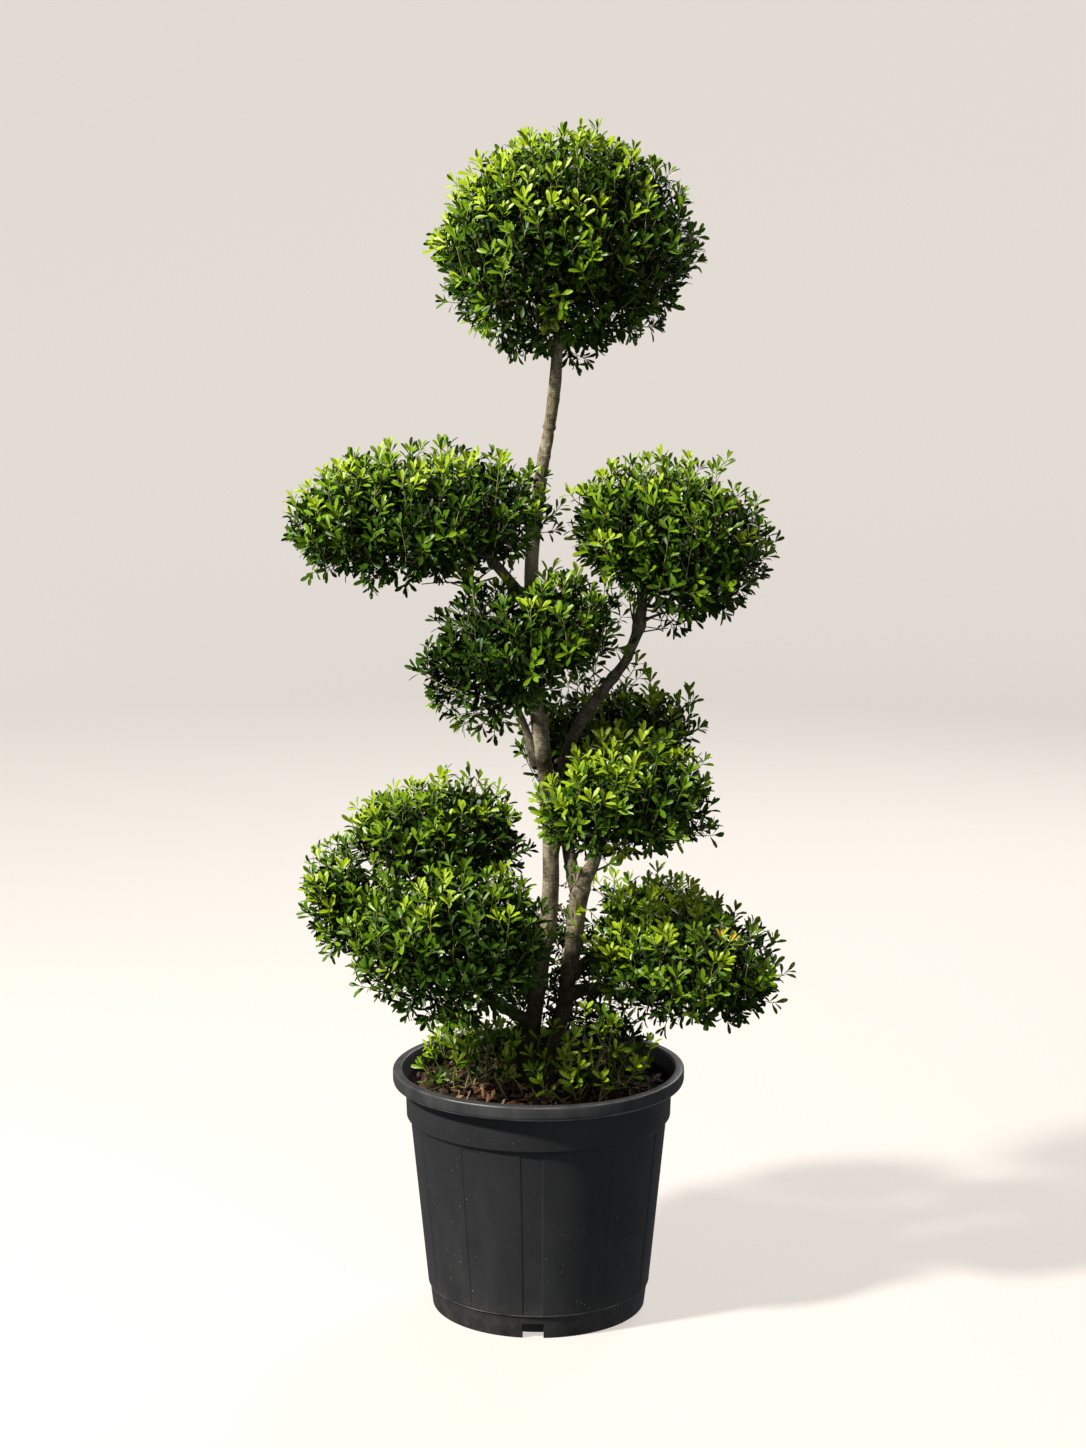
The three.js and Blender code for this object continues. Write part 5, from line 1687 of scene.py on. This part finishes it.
# pale stubs and thin bare stalks in the soil
stalks = Heap()
p = scatter(46, 0.02, 0.165)
for q in p:
    lean_way = unit(np.array([rng.normal(0, 0.5), rng.normal(0, 0.5), 1.0]))
    tall = rng.uniform(0.006, 0.016)
    pts = np.stack([q - UP * 0.002, q + lean_way * tall * 0.5, q + lean_way * tall])
    stalks.add(*tubes(pts[None], np.array([[0.0013, 0.0012, 0.0011]]) * rng.uniform(0.6, 1.5), 6, close=True))
for (x0, y0), (x1, y1, z1), (x2, y2, z2) in [
    ((5, -84), (-4, -89, 321), (-13, -91, 334)), ((5, -84), (14, -90, 320), (25, -93, 331)),
    ((4, -76), (6, -78, 330), (2, -76, 352)), ((-20, -66), (-27, -76, 330), (-38, -82, 343)),
    ((-40, -74), (-52, -84, 330), (-58, -88, 342)), ((52, -78), (60, -92, 328), (66, -98, 338)),
    ((-84, -48), (-92, -60, 334), (-98, -64, 350)),
]:
    pts, rad = smooth_path([(x0, y0, 304, 1.35), (x1, y1, z1, 1.1), (x2, y2, z2, 0.7)], 6)
    stalks.add(*tubes(pts[None], rad[None], 5, close=True))
lying = scatter(60, 0.0, 0.165)
for q in lying:
    a = rng.uniform(0, 2 * np.pi)
    d = np.array([math.cos(a), math.sin(a), rng.normal(0, 0.12)])
    ln = rng.uniform(0.012, 0.034)
    pts = np.stack([q + UP * 0.002, q + UP * 0.004 + d * ln * 0.5 + rng.normal(0, 0.0012, 3), q + UP * 0.003 + d * ln])
    pts[:, 2] = np.maximum(pts[:, 2], SOIL)
    hyp = np.hypot(pts[:, 0], pts[:, 1])
    if hyp.max() < 0.172:
        stalks.add(*tubes(pts[None], np.array([[0.0007, 0.0007, 0.0005]]), 4))
stalks.make("soil_stalks", leaf_material("stalk_pale", (0.36, 0.27, 0.17), 0.8, 0.3), "potting_soil", ["soil"])

# ------------------------------------------------------------------ floor, lights, camera
m_floor, nt, b = new_material("floor_pale")
b.inputs["Base Color"].default_value = (0.34, 0.325, 0.308, 1)
b.inputs["Emission Color"].default_value = (1.0, 0.925, 0.852, 1)
b.inputs["Emission Strength"].default_value = 0.615
b.inputs["Roughness"].default_value = 0.9
b.inputs["Specular IOR Level"].default_value = 0.15
ring_r = np.concatenate([[0.3, 1, 2, 3.5, 5, 6], 6 + 2.2 * np.sin(np.linspace(0.1, np.pi / 2, 14)), [8.2, 8.2]])
ring_z = np.concatenate([[0, 0, 0, 0, 0, 0], 2.2 * (1 - np.cos(np.linspace(0.1, np.pi / 2, 14))), [4.5, 8.0]])
seg = 96
ta = np.arange(seg) * 2 * np.pi / seg
fv = np.stack([ring_r[:, None] * np.cos(ta), ring_r[:, None] * np.sin(ta), np.repeat(ring_z[:, None], seg, 1)], -1).reshape(-1, 3)
fi = (np.arange(len(ring_r) - 1) * seg)[:, None]
fj = np.arange(seg)[None]
fq = np.stack([fi + fj, fi + seg + fj, fi + seg + (fj + 1) % seg, fi + (fj + 1) % seg], -1).reshape(-1, 4)
floor = mesh_object("floor", fv, [fq, np.array([list(range(seg))])], m_floor)
floor.visible_diffuse = False
floor.visible_glossy = False

world = bpy.data.worlds.new("soft_studio")
bpy.context.scene.world = world
world.use_nodes = True
bg = world.node_tree.nodes["Background"]
bg.inputs["Color"].default_value = (0.93, 0.96, 1.0, 1)
bg.inputs["Strength"].default_value = 0.115


def area_light(name, at, to, size, watts, colour):
    data = bpy.data.lights.new(name, "AREA")
    data.shape = "DISK"
    data.size = size
    data.energy = watts
    data.color = colour
    ob = bpy.data.objects.new(name, data)
    bpy.context.scene.collection.objects.link(ob)
    ob.location = at
    ob.rotation_mode = "QUATERNION"
    ob.rotation_quaternion = (Vector(to) - Vector(at)).to_track_quat("-Z", "Y")
    return ob


area_light("key", (-3.75, -2.2, 4.25), (0, 0, 0.85), 0.5, 590, (1.0, 0.965, 0.90))
area_light("fill", (1.8, -3.9, 1.3), (0, 0, 0.55), 2.4, 23, (0.95, 0.97, 1.0))
area_light("back", (1.6, 3.6, 3.2), (0, 0, 1.0), 2.2, 95, (1.0, 0.98, 0.95))

cam_data = bpy.data.cameras.new("camera")
cam_data.sensor_width = 36
cam_data.lens = 36 * 2600 / 1448
cam_data.clip_start, cam_data.clip_end = 0.05, 60
cam = bpy.data.objects.new("camera", cam_data)
bpy.context.scene.collection.objects.link(cam)
cam.location = (0.006, -3.4603, 1.3316)
cam.rotation_euler = (math.radians(90 - 8.60), 0, 0)
bpy.context.scene.camera = cam

scene = bpy.context.scene
scene.view_settings.view_transform = "Standard"
scene.view_settings.look = "None"
scene.view_settings.exposure = 0.0

bpy.context.view_layer.update()
print("triangles", totals)
